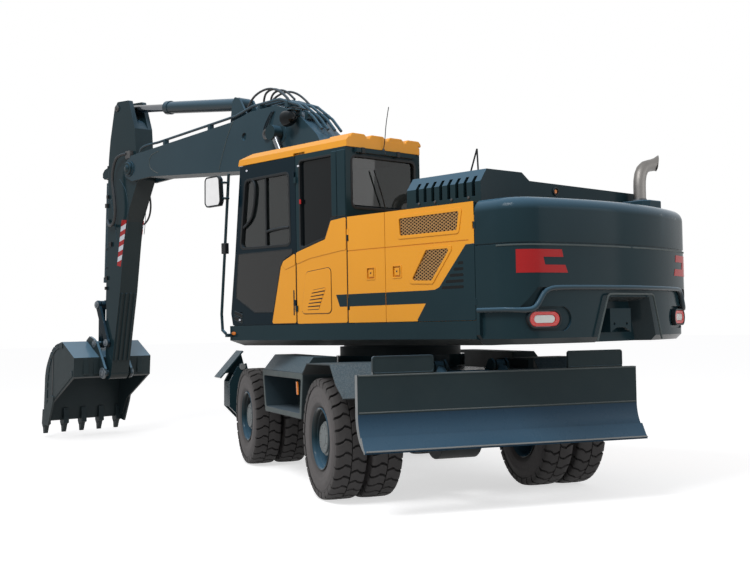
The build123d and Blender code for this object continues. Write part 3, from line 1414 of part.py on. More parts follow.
# Arm: tapered box with the cylinder ears on top
arm_outline = [
    (5109, 4600), (5398, 4620), (5480, 4533), (5596, 4129), (5639, 3894), (5691, 2934), (5750, 2230),
    (5772, 1500), (5788, 1150), (5818, 940), (5648, 905), (5600, 1100),
    (5388, 2022), (5220, 2967), (4900, 3500), (4880, 3700), (4940, 3860), (4960, 4200),
]
with BuildPart() as arm:
    side_form(arm_outline, boom_x - arm_half, boom_x + arm_half, corner=18)
    # gap between the ears, as deep as the rod sweeps
    side_form(
        [(4850, 4700), (5700, 4700), (5600, 4410), (5200, 4375), (5060, 4310), (4930, 4170), (4850, 4200)],
        boom_x - 72, boom_x + 72, mode=Mode.SUBTRACT,
    )
    # raised wear strips on the rear face near the bucket
    for strip_x in (-102, -34, 34, 102):
        side_form(
            [(5610, 1080), (5585, 1080), (5378, 2000), (5396, 2004)],
            boom_x + strip_x - 16, boom_x + strip_x + 16,
        )
    # bosses of the arm's pivot and of the rocker's
    for side in (-1, 1):
        cross_pin(boom_x + side * (arm_half - 5), boom_x + side * (arm_half + 4), boom_tip, 100)
    cross_pin(boom_x - arm_half, boom_x + arm_half, bucket_pin, nose_radius)
    for pin_at, radius in (
        (boom_tip, tip_pin_radius),
        (bucket_pin, cyl_pin_radius),
        (rocker_pin, link_pin_radius),
    ):
        cross_pin(
            boom_x - arm_half - 5, boom_x + arm_half + 5, pin_at, radius + running_gap, mode=Mode.SUBTRACT,
        )
    for side in (-1, 1):
        side_form(
            [
                (5640, 3620), (5640, 3780), (bucket_cyl_foot[0] + 20, bucket_cyl_foot[1] + 75),
                (bucket_cyl_foot[0] + 70, bucket_cyl_foot[1] + 30),
                (bucket_cyl_foot[0] + 70, bucket_cyl_foot[1] - 30), (bucket_cyl_foot[0] + 20, 3600),
            ],
            boom_x + side * 76, boom_x + side * 104,
        )
    cross_pin(boom_x - 104, boom_x + 104, bucket_cyl_foot, cyl_pin_radius)
keep(arm, "arm", upper_place)

with BuildPart() as arm_barrel:
    cylinder_barrel(
        boom_x, arm_cyl_foot, arm_cyl_eye, arm_cyl_length, arm_cyl_radius, 74, arm_rod_radius,
        cyl_pin_radius,
    )
keep(arm_barrel, "arm_barrel", upper_place)

with BuildPart() as arm_rod:
    cylinder_rod(boom_x, arm_cyl_foot, arm_cyl_eye, arm_rod_root, arm_rod_radius, 64, 80)
keep(arm_rod, "arm_rod", upper_place)

with BuildPart() as bucket_barrel:
    cylinder_barrel(
        boom_x, bucket_cyl_foot, rocker_joint, bucket_cyl_length, bucket_cyl_radius, 66,
        bucket_rod_radius, cyl_pin_radius,
    )
keep(bucket_barrel, "bucket_barrel", upper_place)

with BuildPart() as bucket_rod:
    cylinder_rod(boom_x, bucket_cyl_foot, rocker_joint, bucket_rod_root, bucket_rod_radius, 56, 66)
keep(bucket_rod, "bucket_rod", upper_place)


def link_plate(x0, x1, start, end, radius):
    """A link plate with round ends between two (y, z) pins."""
    run_y, run_z = end[0] - start[0], end[1] - start[1]
    span = math.hypot(run_y, run_z)
    side_y, side_z = -run_z / span * radius * 0.8, run_y / span * radius * 0.8
    side_form(
        [
            (start[0] + side_y, start[1] + side_z), (end[0] + side_y, end[1] + side_z),
            (end[0] - side_y, end[1] - side_z), (start[0] - side_y, start[1] - side_z),
        ],
        x0, x1,
    )
    cross_pin(x0, x1, start, radius)
    cross_pin(x0, x1, end, radius)


# Bucket linkage: rocker plates outside the arm, power link between them and the bucket ears
with BuildPart() as rocker_links:
    for side in (-1, 1):
        near_x = boom_x + side * (arm_half + side_gap)
        link_plate(near_x, near_x + side * rocker_thick, rocker_pin, rocker_joint, 62)
    cross_pin(
        boom_x - arm_half - side_gap - rocker_thick, boom_x + arm_half + side_gap + rocker_thick,
        rocker_pin, link_pin_radius,
    )
keep(rocker_links, "rocker_links", upper_place)

with BuildPart() as power_link:
    for side in (-1, 1):
        near_x = boom_x + side * link_inner
        link_plate(near_x, near_x + side * link_thick, bucket_link_pin, rocker_joint, 58)
    side_form(
        [(5915, 1440), (5985, 1440), (5975, 1640), (5925, 1640)],
        boom_x - link_inner - 5, boom_x + link_inner + 5,
    )
    cross_pin(
        boom_x - link_inner - link_thick, boom_x + link_inner + link_thick, bucket_link_pin,
        link_pin_radius + running_gap, mode=Mode.SUBTRACT,
    )
keep(power_link, "power_link", upper_place)

# Bucket: rolled back, side plates with their cutters, teeth on adapters, and ears
bucket_lip = (6700.0, 230.0)


def bucket_shell(inset):
    """The bucket's side outline, drawn in by the plate's thickness where asked."""
    Line((5840 + inset * 1.3, 868 + inset * 0.6), (5816 + inset * 1.4, 1130))
    Line((5816 + inset * 1.4, 1130), (6149, 1350 - inset))
    ThreePointArc((6149, 1350 - inset), (6505 - inset * 0.7, 1165 - inset * 0.7), (6668 - inset, 760))
    Line((6668 - inset, 760), (6722 - inset, bucket_lip[1]))
    if inset:
        Line((6722 - inset, bucket_lip[1]), (6600, 100))
        Polyline((6600, 100), (5880, 640), (5840 + inset * 1.3, 868 + inset * 0.6))
    else:
        Polyline((6722, bucket_lip[1]), (6560, 290), (6443, 500), (5840, 868))


ear_inner = arm_half + side_gap + rocker_thick + side_gap
ear_thick = 34.0
tooth_pitch = (2 * bucket_half - tooth_width) / (tooth_count - 1)
with BuildPart() as bucket:
    with BuildSketch(Plane.YZ.offset(boom_x - bucket_half)) as bucket_side:
        with BuildLine():
            bucket_shell(0)
        make_face()
    extrude(bucket_side.sketch, amount=2 * bucket_half)
    with BuildSketch(Plane.YZ.offset(boom_x - bucket_half + bucket_plate)) as bucket_room:
        with BuildLine():
            bucket_shell(bucket_plate)
        make_face()
    extrude(bucket_room.sketch, amount=2 * (bucket_half - bucket_plate), mode=Mode.SUBTRACT)
    for tooth in range(tooth_count):
        tooth_x = boom_x - bucket_half + tooth_width / 2 + tooth * tooth_pitch
        side_form(
            [(6655, 400), (6740, 400), (6770, 200), (6745, 150), (6650, 190)],
            tooth_x - tooth_width / 2, tooth_x + tooth_width / 2,
        )
        side_form(
            [(6765, 205), (6750, 60), (6722, 60), (6662, 205)],
            tooth_x - tooth_width * 0.36, tooth_x + tooth_width * 0.36,
        )
    for side in (-1, 1):
        plate_x = boom_x + side * bucket_half
        # side cutter and the wear plate along the back
        side_form(
            [(6380, 590), (6470, 600), (6712, 330), (6690, 200), (6560, 170), (6420, 470)],
            plate_x - side * 8, plate_x + side * 20,
        )
        ear_x = boom_x + side * ear_inner
        side_form(
            [
                (5850, 868), (5840, 1130), (6150, 1342), (6200, 1345), (6080, 1420),
                (bucket_link_pin[0] + 30, bucket_link_pin[1] + 70),
                (bucket_link_pin[0] - 70, bucket_link_pin[1]), (bucket_pin[0] - 60, bucket_pin[1] + 60),
                (bucket_pin[0] - 80, bucket_pin[1] - 20), (bucket_pin[0], bucket_pin[1] - 85),
                (bucket_pin[0] + 80, bucket_pin[1] - 20),
            ],
            ear_x, ear_x + side * ear_thick, corner=14,
        )
    cross_pin(boom_x - ear_inner - ear_thick, boom_x + ear_inner + ear_thick, bucket_pin, cyl_pin_radius)
    cross_pin(
        boom_x - ear_inner - ear_thick, boom_x + ear_inner + ear_thick, bucket_link_pin, link_pin_radius,
    )
keep(bucket, "bucket", upper_place)
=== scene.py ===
import json
import math
import bmesh
import bpy
from mathutils import Matrix, Vector

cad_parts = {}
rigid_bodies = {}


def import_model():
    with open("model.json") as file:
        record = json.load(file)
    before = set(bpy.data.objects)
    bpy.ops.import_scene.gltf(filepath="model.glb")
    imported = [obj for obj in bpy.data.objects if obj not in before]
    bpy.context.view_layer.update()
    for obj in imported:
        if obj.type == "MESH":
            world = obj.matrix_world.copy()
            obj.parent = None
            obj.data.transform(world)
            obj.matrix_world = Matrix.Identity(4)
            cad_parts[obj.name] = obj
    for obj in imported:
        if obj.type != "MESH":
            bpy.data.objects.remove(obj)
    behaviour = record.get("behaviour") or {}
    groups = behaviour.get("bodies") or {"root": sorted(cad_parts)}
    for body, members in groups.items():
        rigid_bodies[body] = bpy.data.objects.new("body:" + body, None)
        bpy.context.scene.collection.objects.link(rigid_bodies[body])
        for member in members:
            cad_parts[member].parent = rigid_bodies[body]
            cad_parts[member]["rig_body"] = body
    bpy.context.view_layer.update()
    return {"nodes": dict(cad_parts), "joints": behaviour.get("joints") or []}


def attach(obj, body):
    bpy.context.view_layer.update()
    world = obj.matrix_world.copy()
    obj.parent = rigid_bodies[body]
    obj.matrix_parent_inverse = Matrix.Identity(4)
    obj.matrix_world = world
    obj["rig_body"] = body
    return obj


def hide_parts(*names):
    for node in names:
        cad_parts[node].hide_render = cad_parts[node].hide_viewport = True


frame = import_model()
nodes = frame["nodes"]
joints = {joint["name"]: joint for joint in frame["joints"]}
print("frame loaded:", len(nodes), "nodes")

# where the upper machine's own axes and the chassis' own axes stand
swingPoint = Vector(joints["swing"]["pos_m"])
upperPlace = Matrix.Translation((swingPoint.x, swingPoint.y, 0))
axleLine = Vector(joints["wheel_spin_rear_left"]["axis"])
chassisTurn = math.atan2(axleLine.y, axleLine.x)
chassisPlace = upperPlace @ Matrix.Rotation(chassisTurn, 4, "Z")


# Camera, light and floor

shot = {
    "spot": (-8.149, -10.145, 1.492),
    "heading": 43.24,        # degrees from +Y toward +X
    "pitch": 1.99,
    "roll": -1.08,
    "lens": 54.2,
}


def makeCamera():
    data = bpy.data.cameras.new("shotCamera")
    data.lens = shot["lens"]
    data.sensor_width = 36
    data.clip_end = 200
    camera = standObject("shotCamera", data)
    aim = Matrix.Rotation(math.radians(-shot["heading"]), 4, "Z")
    lift = Matrix.Rotation(math.radians(90 + shot["pitch"]), 4, "X")
    roll = Matrix.Rotation(math.radians(shot["roll"]), 4, "Z")
    camera.matrix_world = Matrix.Translation(shot["spot"]) @ aim @ lift @ roll
    bpy.context.scene.camera = camera


# Node helpers

def makeNode(tree, kind, **values):
    node = tree.nodes.new(kind)
    for key, value in values.items():
        setattr(node, key, value)
    return node


def noiseNode(tree, place, scale, detail=4, roughness=0.55):
    noise = makeNode(tree, "ShaderNodeTexNoise")
    noise.inputs["Scale"].default_value = scale
    noise.inputs["Detail"].default_value = detail
    noise.inputs["Roughness"].default_value = roughness
    tree.links.new(place, noise.inputs["Vector"])
    return noise.outputs["Fac"]


def rampNode(tree, value, stops):
    ramp = makeNode(tree, "ShaderNodeValToRGB")
    elements = ramp.color_ramp.elements
    while len(elements) < len(stops):
        elements.new(0.5)
    for element, (spot, color) in zip(elements, stops):
        element.position = spot
        element.color = (*color[:3], 1)
    tree.links.new(value, ramp.inputs[0])
    return ramp.outputs["Color"]


def mathNode(tree, operation, first, second):
    node = makeNode(tree, "ShaderNodeMath", operation=operation, use_clamp=True)
    for socket, value in zip(node.inputs, (first, second)):
        if isinstance(value, (int, float)):
            socket.default_value = value
        else:
            tree.links.new(value, socket)
    return node.outputs[0]


def mixTint(tree, factor, first, second):
    node = makeNode(tree, "ShaderNodeMix", data_type="RGBA")
    tree.links.new(factor, node.inputs["Factor"])
    for socket, value in ((node.inputs["A"], first), (node.inputs["B"], second)):
        if isinstance(value, tuple):
            socket.default_value = (*value[:3], 1)
        else:
            tree.links.new(value, socket)
    return node.outputs["Result"]


def rangeNode(tree, value, low, high):
    node = makeNode(tree, "ShaderNodeMapRange")
    node.inputs["To Min"].default_value = low
    node.inputs["To Max"].default_value = high
    tree.links.new(value, node.inputs["Value"])
    return node.outputs["Result"]


def bumpNode(tree, height, strength, distance=0.002):
    node = makeNode(tree, "ShaderNodeBump")
    node.inputs["Strength"].default_value = strength
    node.inputs["Distance"].default_value = distance
    tree.links.new(height, node.inputs["Height"])
    return node.outputs["Normal"]


studio = {
    "daylight": 0.58,        # world level on the object
    "key": 760,              # watts
    "keySpot": (-7.5, -4, 10),
    "keySize": 4,
    "fill": 150,
    "fillSpot": (4, -12, 3.5),
    "fillSize": 6,
    "floorColor": (0.62, 0.62, 0.63, 1),
    "floorLift": 0.62,       # what camera, mirror and glass rays see on top of the lit floor
    "floorSpan": 90,
    "floorDrop": -0.002,     # just under the tyres
}


def standObject(name, data):
    piece = bpy.data.objects.new(name, data)
    bpy.context.scene.collection.objects.link(piece)
    return piece


def backgroundRays(tree):
    # 1 for camera, mirror and glass rays, which show the background
    rays = makeNode(tree, "ShaderNodeLightPath").outputs
    seen = mathNode(tree, "MAXIMUM", rays["Is Camera Ray"], rays["Is Glossy Ray"])
    return mathNode(tree, "MAXIMUM", seen, rays["Is Transmission Ray"])


def makeStudio():
    world = bpy.data.worlds.new("studioWorld")
    bpy.context.scene.world = world
    world.use_nodes = True
    tree = world.node_tree
    tree.nodes.clear()
    sky = makeNode(tree, "ShaderNodeBackground")
    sky.inputs["Color"].default_value = (1, 1, 1, 1)
    out = makeNode(tree, "ShaderNodeOutputWorld")
    tree.links.new(rangeNode(tree, backgroundRays(tree), studio["daylight"], 1), sky.inputs["Strength"])
    tree.links.new(sky.outputs[0], out.inputs[0])
    for name, power, spot, size in (
        ("keyLamp", studio["key"], studio["keySpot"], studio["keySize"]),
        ("fillLamp", studio["fill"], studio["fillSpot"], studio["fillSize"]),
    ):
        data = bpy.data.lights.new(name, "AREA")
        data.energy = power
        data.size = size
        lamp = standObject(name, data)
        lamp.location = spot
        aim = Vector((swingPoint.x, swingPoint.y, 1.4)) - Vector(spot)
        lamp.rotation_euler = aim.to_track_quat("-Z", "Y").to_euler()

    finish = bpy.data.materials.new("floorPale")
    finish.use_nodes = True
    tree = finish.node_tree
    tree.nodes.clear()
    matte = makeNode(tree, "ShaderNodeBsdfDiffuse")
    matte.inputs["Color"].default_value = studio["floorColor"]
    glow = makeNode(tree, "ShaderNodeEmission")
    tree.links.new(rangeNode(tree, backgroundRays(tree), 0, studio["floorLift"]), glow.inputs["Strength"])
    both = makeNode(tree, "ShaderNodeAddShader")
    out = makeNode(tree, "ShaderNodeOutputMaterial")
    tree.links.new(matte.outputs[0], both.inputs[0])
    tree.links.new(glow.outputs[0], both.inputs[1])
    tree.links.new(both.outputs[0], out.inputs[0])
    mesh = bpy.data.meshes.new("studioFloor")
    span = studio["floorSpan"]
    mesh.from_pydata([(-span, -span, 0), (span, -span, 0), (span, span, 0), (-span, span, 0)], [], [(0, 1, 2, 3)])
    mesh.materials.append(finish)
    floor = standObject("studioFloor", mesh)
    floor.location.z = studio["floorDrop"]
    bpy.context.scene.view_settings.view_transform = "Standard"


makeCamera()
makeStudio()
print("camera, lamps and floor stand")


# Finishes

paints = {
    # colour, its darker drift, roughness from and to, gloss, fine peel, dust and painted sky reflection on what faces
    # up, painted ground bounce light on what faces down
    "slatePaint": ((0.0135, 0.033, 0.041), (0.009, 0.024, 0.031), (0.12, 0.22), 0.07, 0.01, 0.02, 0.62, 0.5),
    # a lighter copy of the slate paint: painted light on the boom and its parts, the hood's top and the ledge's lip
    "slatePaintedLit": ((0.026, 0.055, 0.073), (0.018, 0.041, 0.055), (0.14, 0.24), 0.09, 0.012, 0.03, 0.7, 0.6),
    # a darker copy of the slate paint: painted shade on the cab door, the links, the stays and the clamps
    "slatePaintedShade": ((0.0035, 0.0145, 0.0225), (0.002, 0.009, 0.0145), (0.1, 0.2), 0.07, 0.01, 0.015, 0.6, 0.4),
    "slateDull": ((0.016, 0.03, 0.034), (0.01, 0.02, 0.024), (0.3, 0.45), 0.1, 0.03, 0.12, 0.5, 0.4),
    "bladePaint": ((0.01, 0.036, 0.066), (0.007, 0.026, 0.05), (0.22, 0.34), 0.14, 0.02, 0.04, 0.5, 0.3),
    "edgePale": ((0.24, 0.25, 0.255), (0.13, 0.145, 0.15), (0.4, 0.6), 0.3, 0.08, 0.3, 0.1, 0.1),
    "slateRough": ((0.015, 0.03, 0.036), (0.008, 0.017, 0.022), (0.42, 0.6), 0.14, 0.08, 0.22, 0.4, 0.3),
    "frameDust": ((0.06, 0.085, 0.088), (0.026, 0.044, 0.048), (0.45, 0.65), 0.2, 0.1, 0.5, 0.2, 0.2),
    # a lighter blue copy of the bucket paint for its upward faces: painted sky reflection
    "bucketTopPaintedSky": ((0.15, 0.285, 0.4), (0.09, 0.19, 0.28), (0.14, 0.26), 0.4, 0.03, 0.06, 0.3, 0),
    "yellowPaint": ((0.77, 0.325, 0.022), (0.7, 0.285, 0.018), (0.2, 0.3), 0.22, 0.012, 0.015, 0.02, 0.1),
    "redPaint": ((0.4, 0.02, 0.022), (0.32, 0.014, 0.016), (0.2, 0.3), 0.1, 0.012, 0.02, 0.02, 0),
    "whitePaint": ((0.62, 0.64, 0.7), (0.52, 0.54, 0.6), (0.25, 0.4), 0.3, 0.02, 0.08, 0.02, 0.1),
    "castIron": ((0.05, 0.05, 0.052), (0.024, 0.025, 0.027), (0.3, 0.5), 0.5, 0.2, 0.08, 0.3, 0.3),
    "castBright": ((0.16, 0.185, 0.205), (0.06, 0.075, 0.09), (0.25, 0.45), 0.6, 0.15, 0.08, 0.3, 0.3),
    "plasticDark": ((0.01, 0.0125, 0.0145), (0.006, 0.008, 0.0095), (0.4, 0.55), 0.2, 0.1, 0.03, 0.15, 0.1),
    "blackGloss": ((0.003, 0.005, 0.006), (0.002, 0.003, 0.004), (0.06, 0.12), 0.15, 0.005, 0.01, 0.05, 0),
    "hubGrey": ((0.15, 0.175, 0.18), (0.08, 0.098, 0.104), (0.4, 0.6), 0.3, 0.15, 0.3, 0.1, 0.2),
    "bucketSteel": ((0.022, 0.038, 0.043), (0.011, 0.02, 0.024), (0.34, 0.55), 0.16, 0.12, 0.08, 0.5, 0.4),
    "hoseRubber": ((0.03, 0.032, 0.034), (0.014, 0.015, 0.017), (0.45, 0.6), 0.3, 0.25, 0.1, 0.4, 0.2),
}
dustTint = (0.24, 0.21, 0.175, 1)
# painted sky reflection: blue mixed into what faces up
paintedSkyReflectTint = (0.085, 0.185, 0.285, 1)
# painted ground bounce light: warm grey mixed into what faces down
paintedBounceTint = (0.12, 0.105, 0.092, 1)
finishes = {}


def newFinish(name):
    finish = bpy.data.materials.new(name)
    finish.use_nodes = True
    tree = finish.node_tree
    tree.nodes.clear()
    shader = makeNode(tree, "ShaderNodeBsdfPrincipled")
    out = makeNode(tree, "ShaderNodeOutputMaterial")
    tree.links.new(shader.outputs[0], out.inputs[0])
    finishes[name] = finish
    return tree, shader, makeNode(tree, "ShaderNodeTexCoord").outputs["Object"]


def wire(tree, shader, color, rough, normal=None):
    tree.links.new(color, shader.inputs["Base Color"])
    tree.links.new(rough, shader.inputs["Roughness"])
    if normal is not None:
        tree.links.new(normal, shader.inputs["Normal"])


def makePaint(name, color, shade, rough, gloss, peel, dust, sky, paintedBounceLevel):
    # sprayed paint: slow colour drift, fine peel, dust on what faces up, a painted sky reflection on what faces up
    # and painted ground bounce light on what faces down
    tree, shader, place = newFinish(name)
    color = mixTint(tree, noiseNode(tree, place, 1.7, 5), shade, color)
    facing = makeNode(tree, "ShaderNodeSeparateXYZ")
    tree.links.new(makeNode(tree, "ShaderNodeNewGeometry").outputs["Normal"], facing.inputs[0])
    # painted sky reflection: faces that point up are tinted blue as if they mirrored the sky, as strongly as sky says
    paintedSkyMask = mathNode(tree, "MAXIMUM", facing.outputs["Z"], 0)
    color = mixTint(tree, mathNode(tree, "MULTIPLY", paintedSkyMask, sky), color, paintedSkyReflectTint)
    # painted ground bounce light: faces that point down are tinted warm grey as if lit from the floor
    paintedBounceMask = mathNode(tree, "MULTIPLY", facing.outputs["Z"], -1)
    color = mixTint(tree, mathNode(tree, "MULTIPLY", paintedBounceMask, paintedBounceLevel), color, paintedBounceTint)
    patches = rangeNode(tree, noiseNode(tree, place, 6, 8, 0.7), 0, 2)
    lying = mathNode(tree, "MAXIMUM", facing.outputs["Z"], 0.15)
    settled = mathNode(tree, "MULTIPLY", mathNode(tree, "MULTIPLY", lying, patches), dust)
    wire(tree, shader, mixTint(tree, settled, color, dustTint), rangeNode(tree, noiseNode(tree, place, 9, 6), *rough),
         bumpNode(tree, noiseNode(tree, place, 420, 2), peel))
    shader.inputs["Specular IOR Level"].default_value = gloss


for paintName, paintLook in paints.items():
    makePaint(paintName, *paintLook)


def makeTreadPlate():
    # anti-slip plate: pale blue-grey grit pressed into paint
    tree, shader, place = newFinish("treadPlate")
    grit = makeNode(tree, "ShaderNodeTexVoronoi")
    grit.inputs["Scale"].default_value = 90
    tree.links.new(place, grit.inputs["Vector"])
    grains = rampNode(tree, grit.outputs["Distance"], [(0.1, (1, 1, 1)), (0.6, (0, 0, 0))])
    patches = noiseNode(tree, place, 5, 6, 0.7)
    base = mixTint(tree, patches, (0.022, 0.045, 0.06), (0.055, 0.095, 0.125))
    color = mixTint(tree, mathNode(tree, "MULTIPLY", grains, 0.5), base, (0.16, 0.2, 0.22, 1))
    wire(tree, shader, color, rangeNode(tree, patches, 0.45, 0.75), bumpNode(tree, grains, 0.5, 0.003))


treadGroove = (0.458, 0.5105, 0.1315)   # the groove floors' radii and half width


def makeTyreRubber():
    # dark tread, and walls with dried dust, after the distance from the wheel's middle
    tree, shader, place = newFinish("tyreRubber")
    parts = makeNode(tree, "ShaderNodeSeparateXYZ")
    tree.links.new(place, parts.inputs[0])
    square = mathNode(tree, "MULTIPLY", parts.outputs["Y"], parts.outputs["Y"])
    square.node.use_clamp = False
    other = mathNode(tree, "MULTIPLY", parts.outputs["Z"], parts.outputs["Z"])
    total = mathNode(tree, "ADD", square, other)
    radius = mathNode(tree, "SQRT", total, 0)
    band = rampNode(tree, radius, [(0.26, (0.25,) * 3), (0.34, (0.75,) * 3), (0.44, (0.6,) * 3), (0.5, (0.22,) * 3)])
    patches = noiseNode(tree, place, 11, 9, 0.72)
    dust = mathNode(tree, "MULTIPLY", band, rangeNode(tree, patches, 0.3, 1.2))
    rubber = mixTint(tree, noiseNode(tree, place, 4, 5), (0.018, 0.017, 0.017), (0.034, 0.033, 0.032))
    color = mixTint(tree, mathNode(tree, "MULTIPLY", dust, 0.8), rubber, (0.2, 0.185, 0.185, 1))
    # painted shade: the groove floors between the lugs are darkened
    across = mathNode(tree, "ABSOLUTE", parts.outputs["X"], 0)
    low, high, half = treadGroove
    grooveShadeMask = mathNode(tree, "MULTIPLY", mathNode(tree, "LESS_THAN", radius, high),
                    mathNode(tree, "GREATER_THAN", radius, low))
    grooveShadeMask = mathNode(tree, "MULTIPLY", grooveShadeMask, mathNode(tree, "LESS_THAN", across, half))
    color = mixTint(tree, mathNode(tree, "MULTIPLY", grooveShadeMask, 0.85), color, (0.006, 0.006, 0.006, 1))
    wire(tree, shader, color, rangeNode(tree, patches, 0.62, 0.85),
         bumpNode(tree, noiseNode(tree, place, 160, 3), 0.18))
    shader.inputs["Specular IOR Level"].default_value = 0.3


def dimmed(color, share):
    return tuple(share * level for level in color)


def makeGlass(name, color, gloss):
    tree, shader, place = newFinish(name)
    film = noiseNode(tree, place, 3, 4)
    wire(tree, shader, mixTint(tree, film, color, dimmed(color, 0.85)), rangeNode(tree, film, 0, 0.03))
    shader.inputs["Transmission Weight"].default_value = 0.9
    shader.inputs["IOR"].default_value = 1.45
    shader.inputs["Specular IOR Level"].default_value = gloss


def makeMetal(name, color, rough, brushed):
    tree, shader, place = newFinish(name)
    wisp = noiseNode(tree, place, 14, 6)
    wire(tree, shader, mixTint(tree, wisp, dimmed(color, 0.8), color),
         rangeNode(tree, wisp, rough * 0.7, rough * 1.3),
         bumpNode(tree, noiseNode(tree, place, 300, 2), brushed))
    shader.inputs["Metallic"].default_value = 1.0


def makeLens(name, color, glow):
    # moulded ribs under clear plastic
    tree, shader, place = newFinish(name)
    ribs = makeNode(tree, "ShaderNodeTexWave")
    ribs.inputs["Scale"].default_value = 60
    tree.links.new(place, ribs.inputs["Vector"])
    rib = ribs.outputs["Fac"]
    wire(tree, shader, mixTint(tree, rib, color, dimmed(color, 0.6)), rangeNode(tree, rib, 0.12, 0.22),
         bumpNode(tree, rib, 0.3))
    shader.inputs["Emission Color"].default_value = (*color, 1)
    shader.inputs["Emission Strength"].default_value = glow


def makeFabric():
    # woven seat cloth with a fine rib
    tree, shader, place = newFinish("seatCloth")
    weave = makeNode(tree, "ShaderNodeTexWave", bands_direction="Z")
    weave.inputs["Scale"].default_value = 160
    weave.inputs["Distortion"].default_value = 1.5
    tree.links.new(place, weave.inputs["Vector"])
    fluff = noiseNode(tree, place, 220, 4)
    mixed = mathNode(tree, "MULTIPLY", weave.outputs["Fac"], fluff)
    wire(tree, shader, mixTint(tree, mixed, (0.012, 0.012, 0.013), (0.05, 0.05, 0.053)),
         rangeNode(tree, fluff, 0.8, 0.95), bumpNode(tree, mixed, 0.5, 0.001))
    shader.inputs["Sheen Weight"].default_value = 0.3


makeTreadPlate()
makeTyreRubber()
makeGlass("cabGlass", (0.05, 0.064, 0.064), 0.42)
makeGlass("darkGlass", (0.008, 0.012, 0.013), 0.12)
makeMetal("chromeRod", (0.17, 0.182, 0.198), 0.18, 0.01)
makeMetal("mirrorFace", (0.9, 0.9, 0.91), 0.06, 0)
makeMetal("exhaustSteel", (0.235, 0.225, 0.215), 0.5, 0.15)
makeMetal("wornSteel", (0.3, 0.29, 0.28), 0.4, 0.2)
makeMetal("meshCopper", (0.42, 0.24, 0.1), 0.45, 0.1)
makeLens("lampRed", (0.55, 0.014, 0.01), 0.14)
makeLens("lampClear", (0.75, 0.75, 0.72), 0)
# the amber lens glows faintly; on the side reflectors and the hood latch hub, which are no lamps, this is a painted
# glow
makeLens("amberGlowLens", (0.8, 0.22, 0.02), 0.1)
makeFabric()
print("finishes mixed:", len(finishes))


# Which finish each construction node carries

nodeFinish = {
    "slatePaint": [
        "chassis_frame", "counterweight", "cab_shell", "upper_deck", "engine_hood", "arm", "blade_barrels",
        "stab_barrel_left", "stab_barrel_right", "stabiliser_left", "stabiliser_right",
        "rims_front_left", "rims_front_right", "rims_rear_left", "rims_rear_right", "handrails",
    ],
    "slatePaintedLit": ["boom", "boom_barrels", "arm_barrel", "bucket_barrel", "boom_pipes"],
    "slatePaintedShade": ["cab_door", "rocker_links", "power_link"],
    "slateDull": ["dozer_blade"],
    "slateRough": [
        "slew_ring", "front_axle", "rear_axle", "side_steps", "rear_mudguards", "knuckle_left", "knuckle_right",
    ],
    "yellowPaint": ["side_door_front", "side_door_rear", "side_door_right", "right_housing", "left_housing",
                    "cab_roof"],
    "chromeRod": ["arm_rod", "boom_rods", "bucket_rod", "blade_rods", "stab_rod_left", "stab_rod_right"],
    "tyreRubber": ["tyres_front_left", "tyres_front_right", "tyres_rear_left", "tyres_rear_right"],
    "cabGlass": ["cab_glass", "door_glass"],
    "plasticDark": ["seat_base", "cab_controls"],
    "seatCloth": ["seat_cushions"],
    "castIron": ["engine_block"],
    "exhaustSteel": ["exhaust"],
    "bucketSteel": ["bucket"],
    "lampRed": ["lamps"],
}


def coat(piece, finish):
    piece.data.materials.clear()
    piece.data.materials.append(finishes[finish])


for finishName, members in nodeFinish.items():
    for member in members:
        coat(nodes[member], finishName)


# Softened edges: a node's own mesh with its corners rounded off, some of its faces in another finish

softEdges = {
    # node: edge radius in metres
    "chassis_frame": 0.006, "dozer_blade": 0.004, "upper_deck": 0.008, "counterweight": 0.008,
    "boom": 0.005, "arm": 0.004, "bucket": 0.0035, "rocker_links": 0.005, "power_link": 0.005,
    "cab_shell": 0.006, "cab_door": 0.005, "cab_roof": 0.014, "engine_hood": 0.012,
    "side_door_front": 0.0025, "side_door_rear": 0.0025, "side_door_right": 0.0025,
    "left_housing": 0.004, "right_housing": 0.012, "side_steps": 0.004, "rear_mudguards": 0.003,
    "stabiliser_left": 0.004, "stabiliser_right": 0.004, "front_axle": 0.006, "rear_axle": 0.006,
    "cab_glass": 0.001, "door_glass": 0.001, "boom_barrels": 0.003, "arm_barrel": 0.003, "bucket_barrel": 0.003,
    "boom_rods": 0.003, "arm_rod": 0.003, "bucket_rod": 0.003, "seat_base": 0.02, "cab_controls": 0.003,
    "boom_pipes": 0.002, "engine_block": 0.01, "handrails": 0.004,
}


def upperSpot(point):
    return upperPlace.inverted() @ point


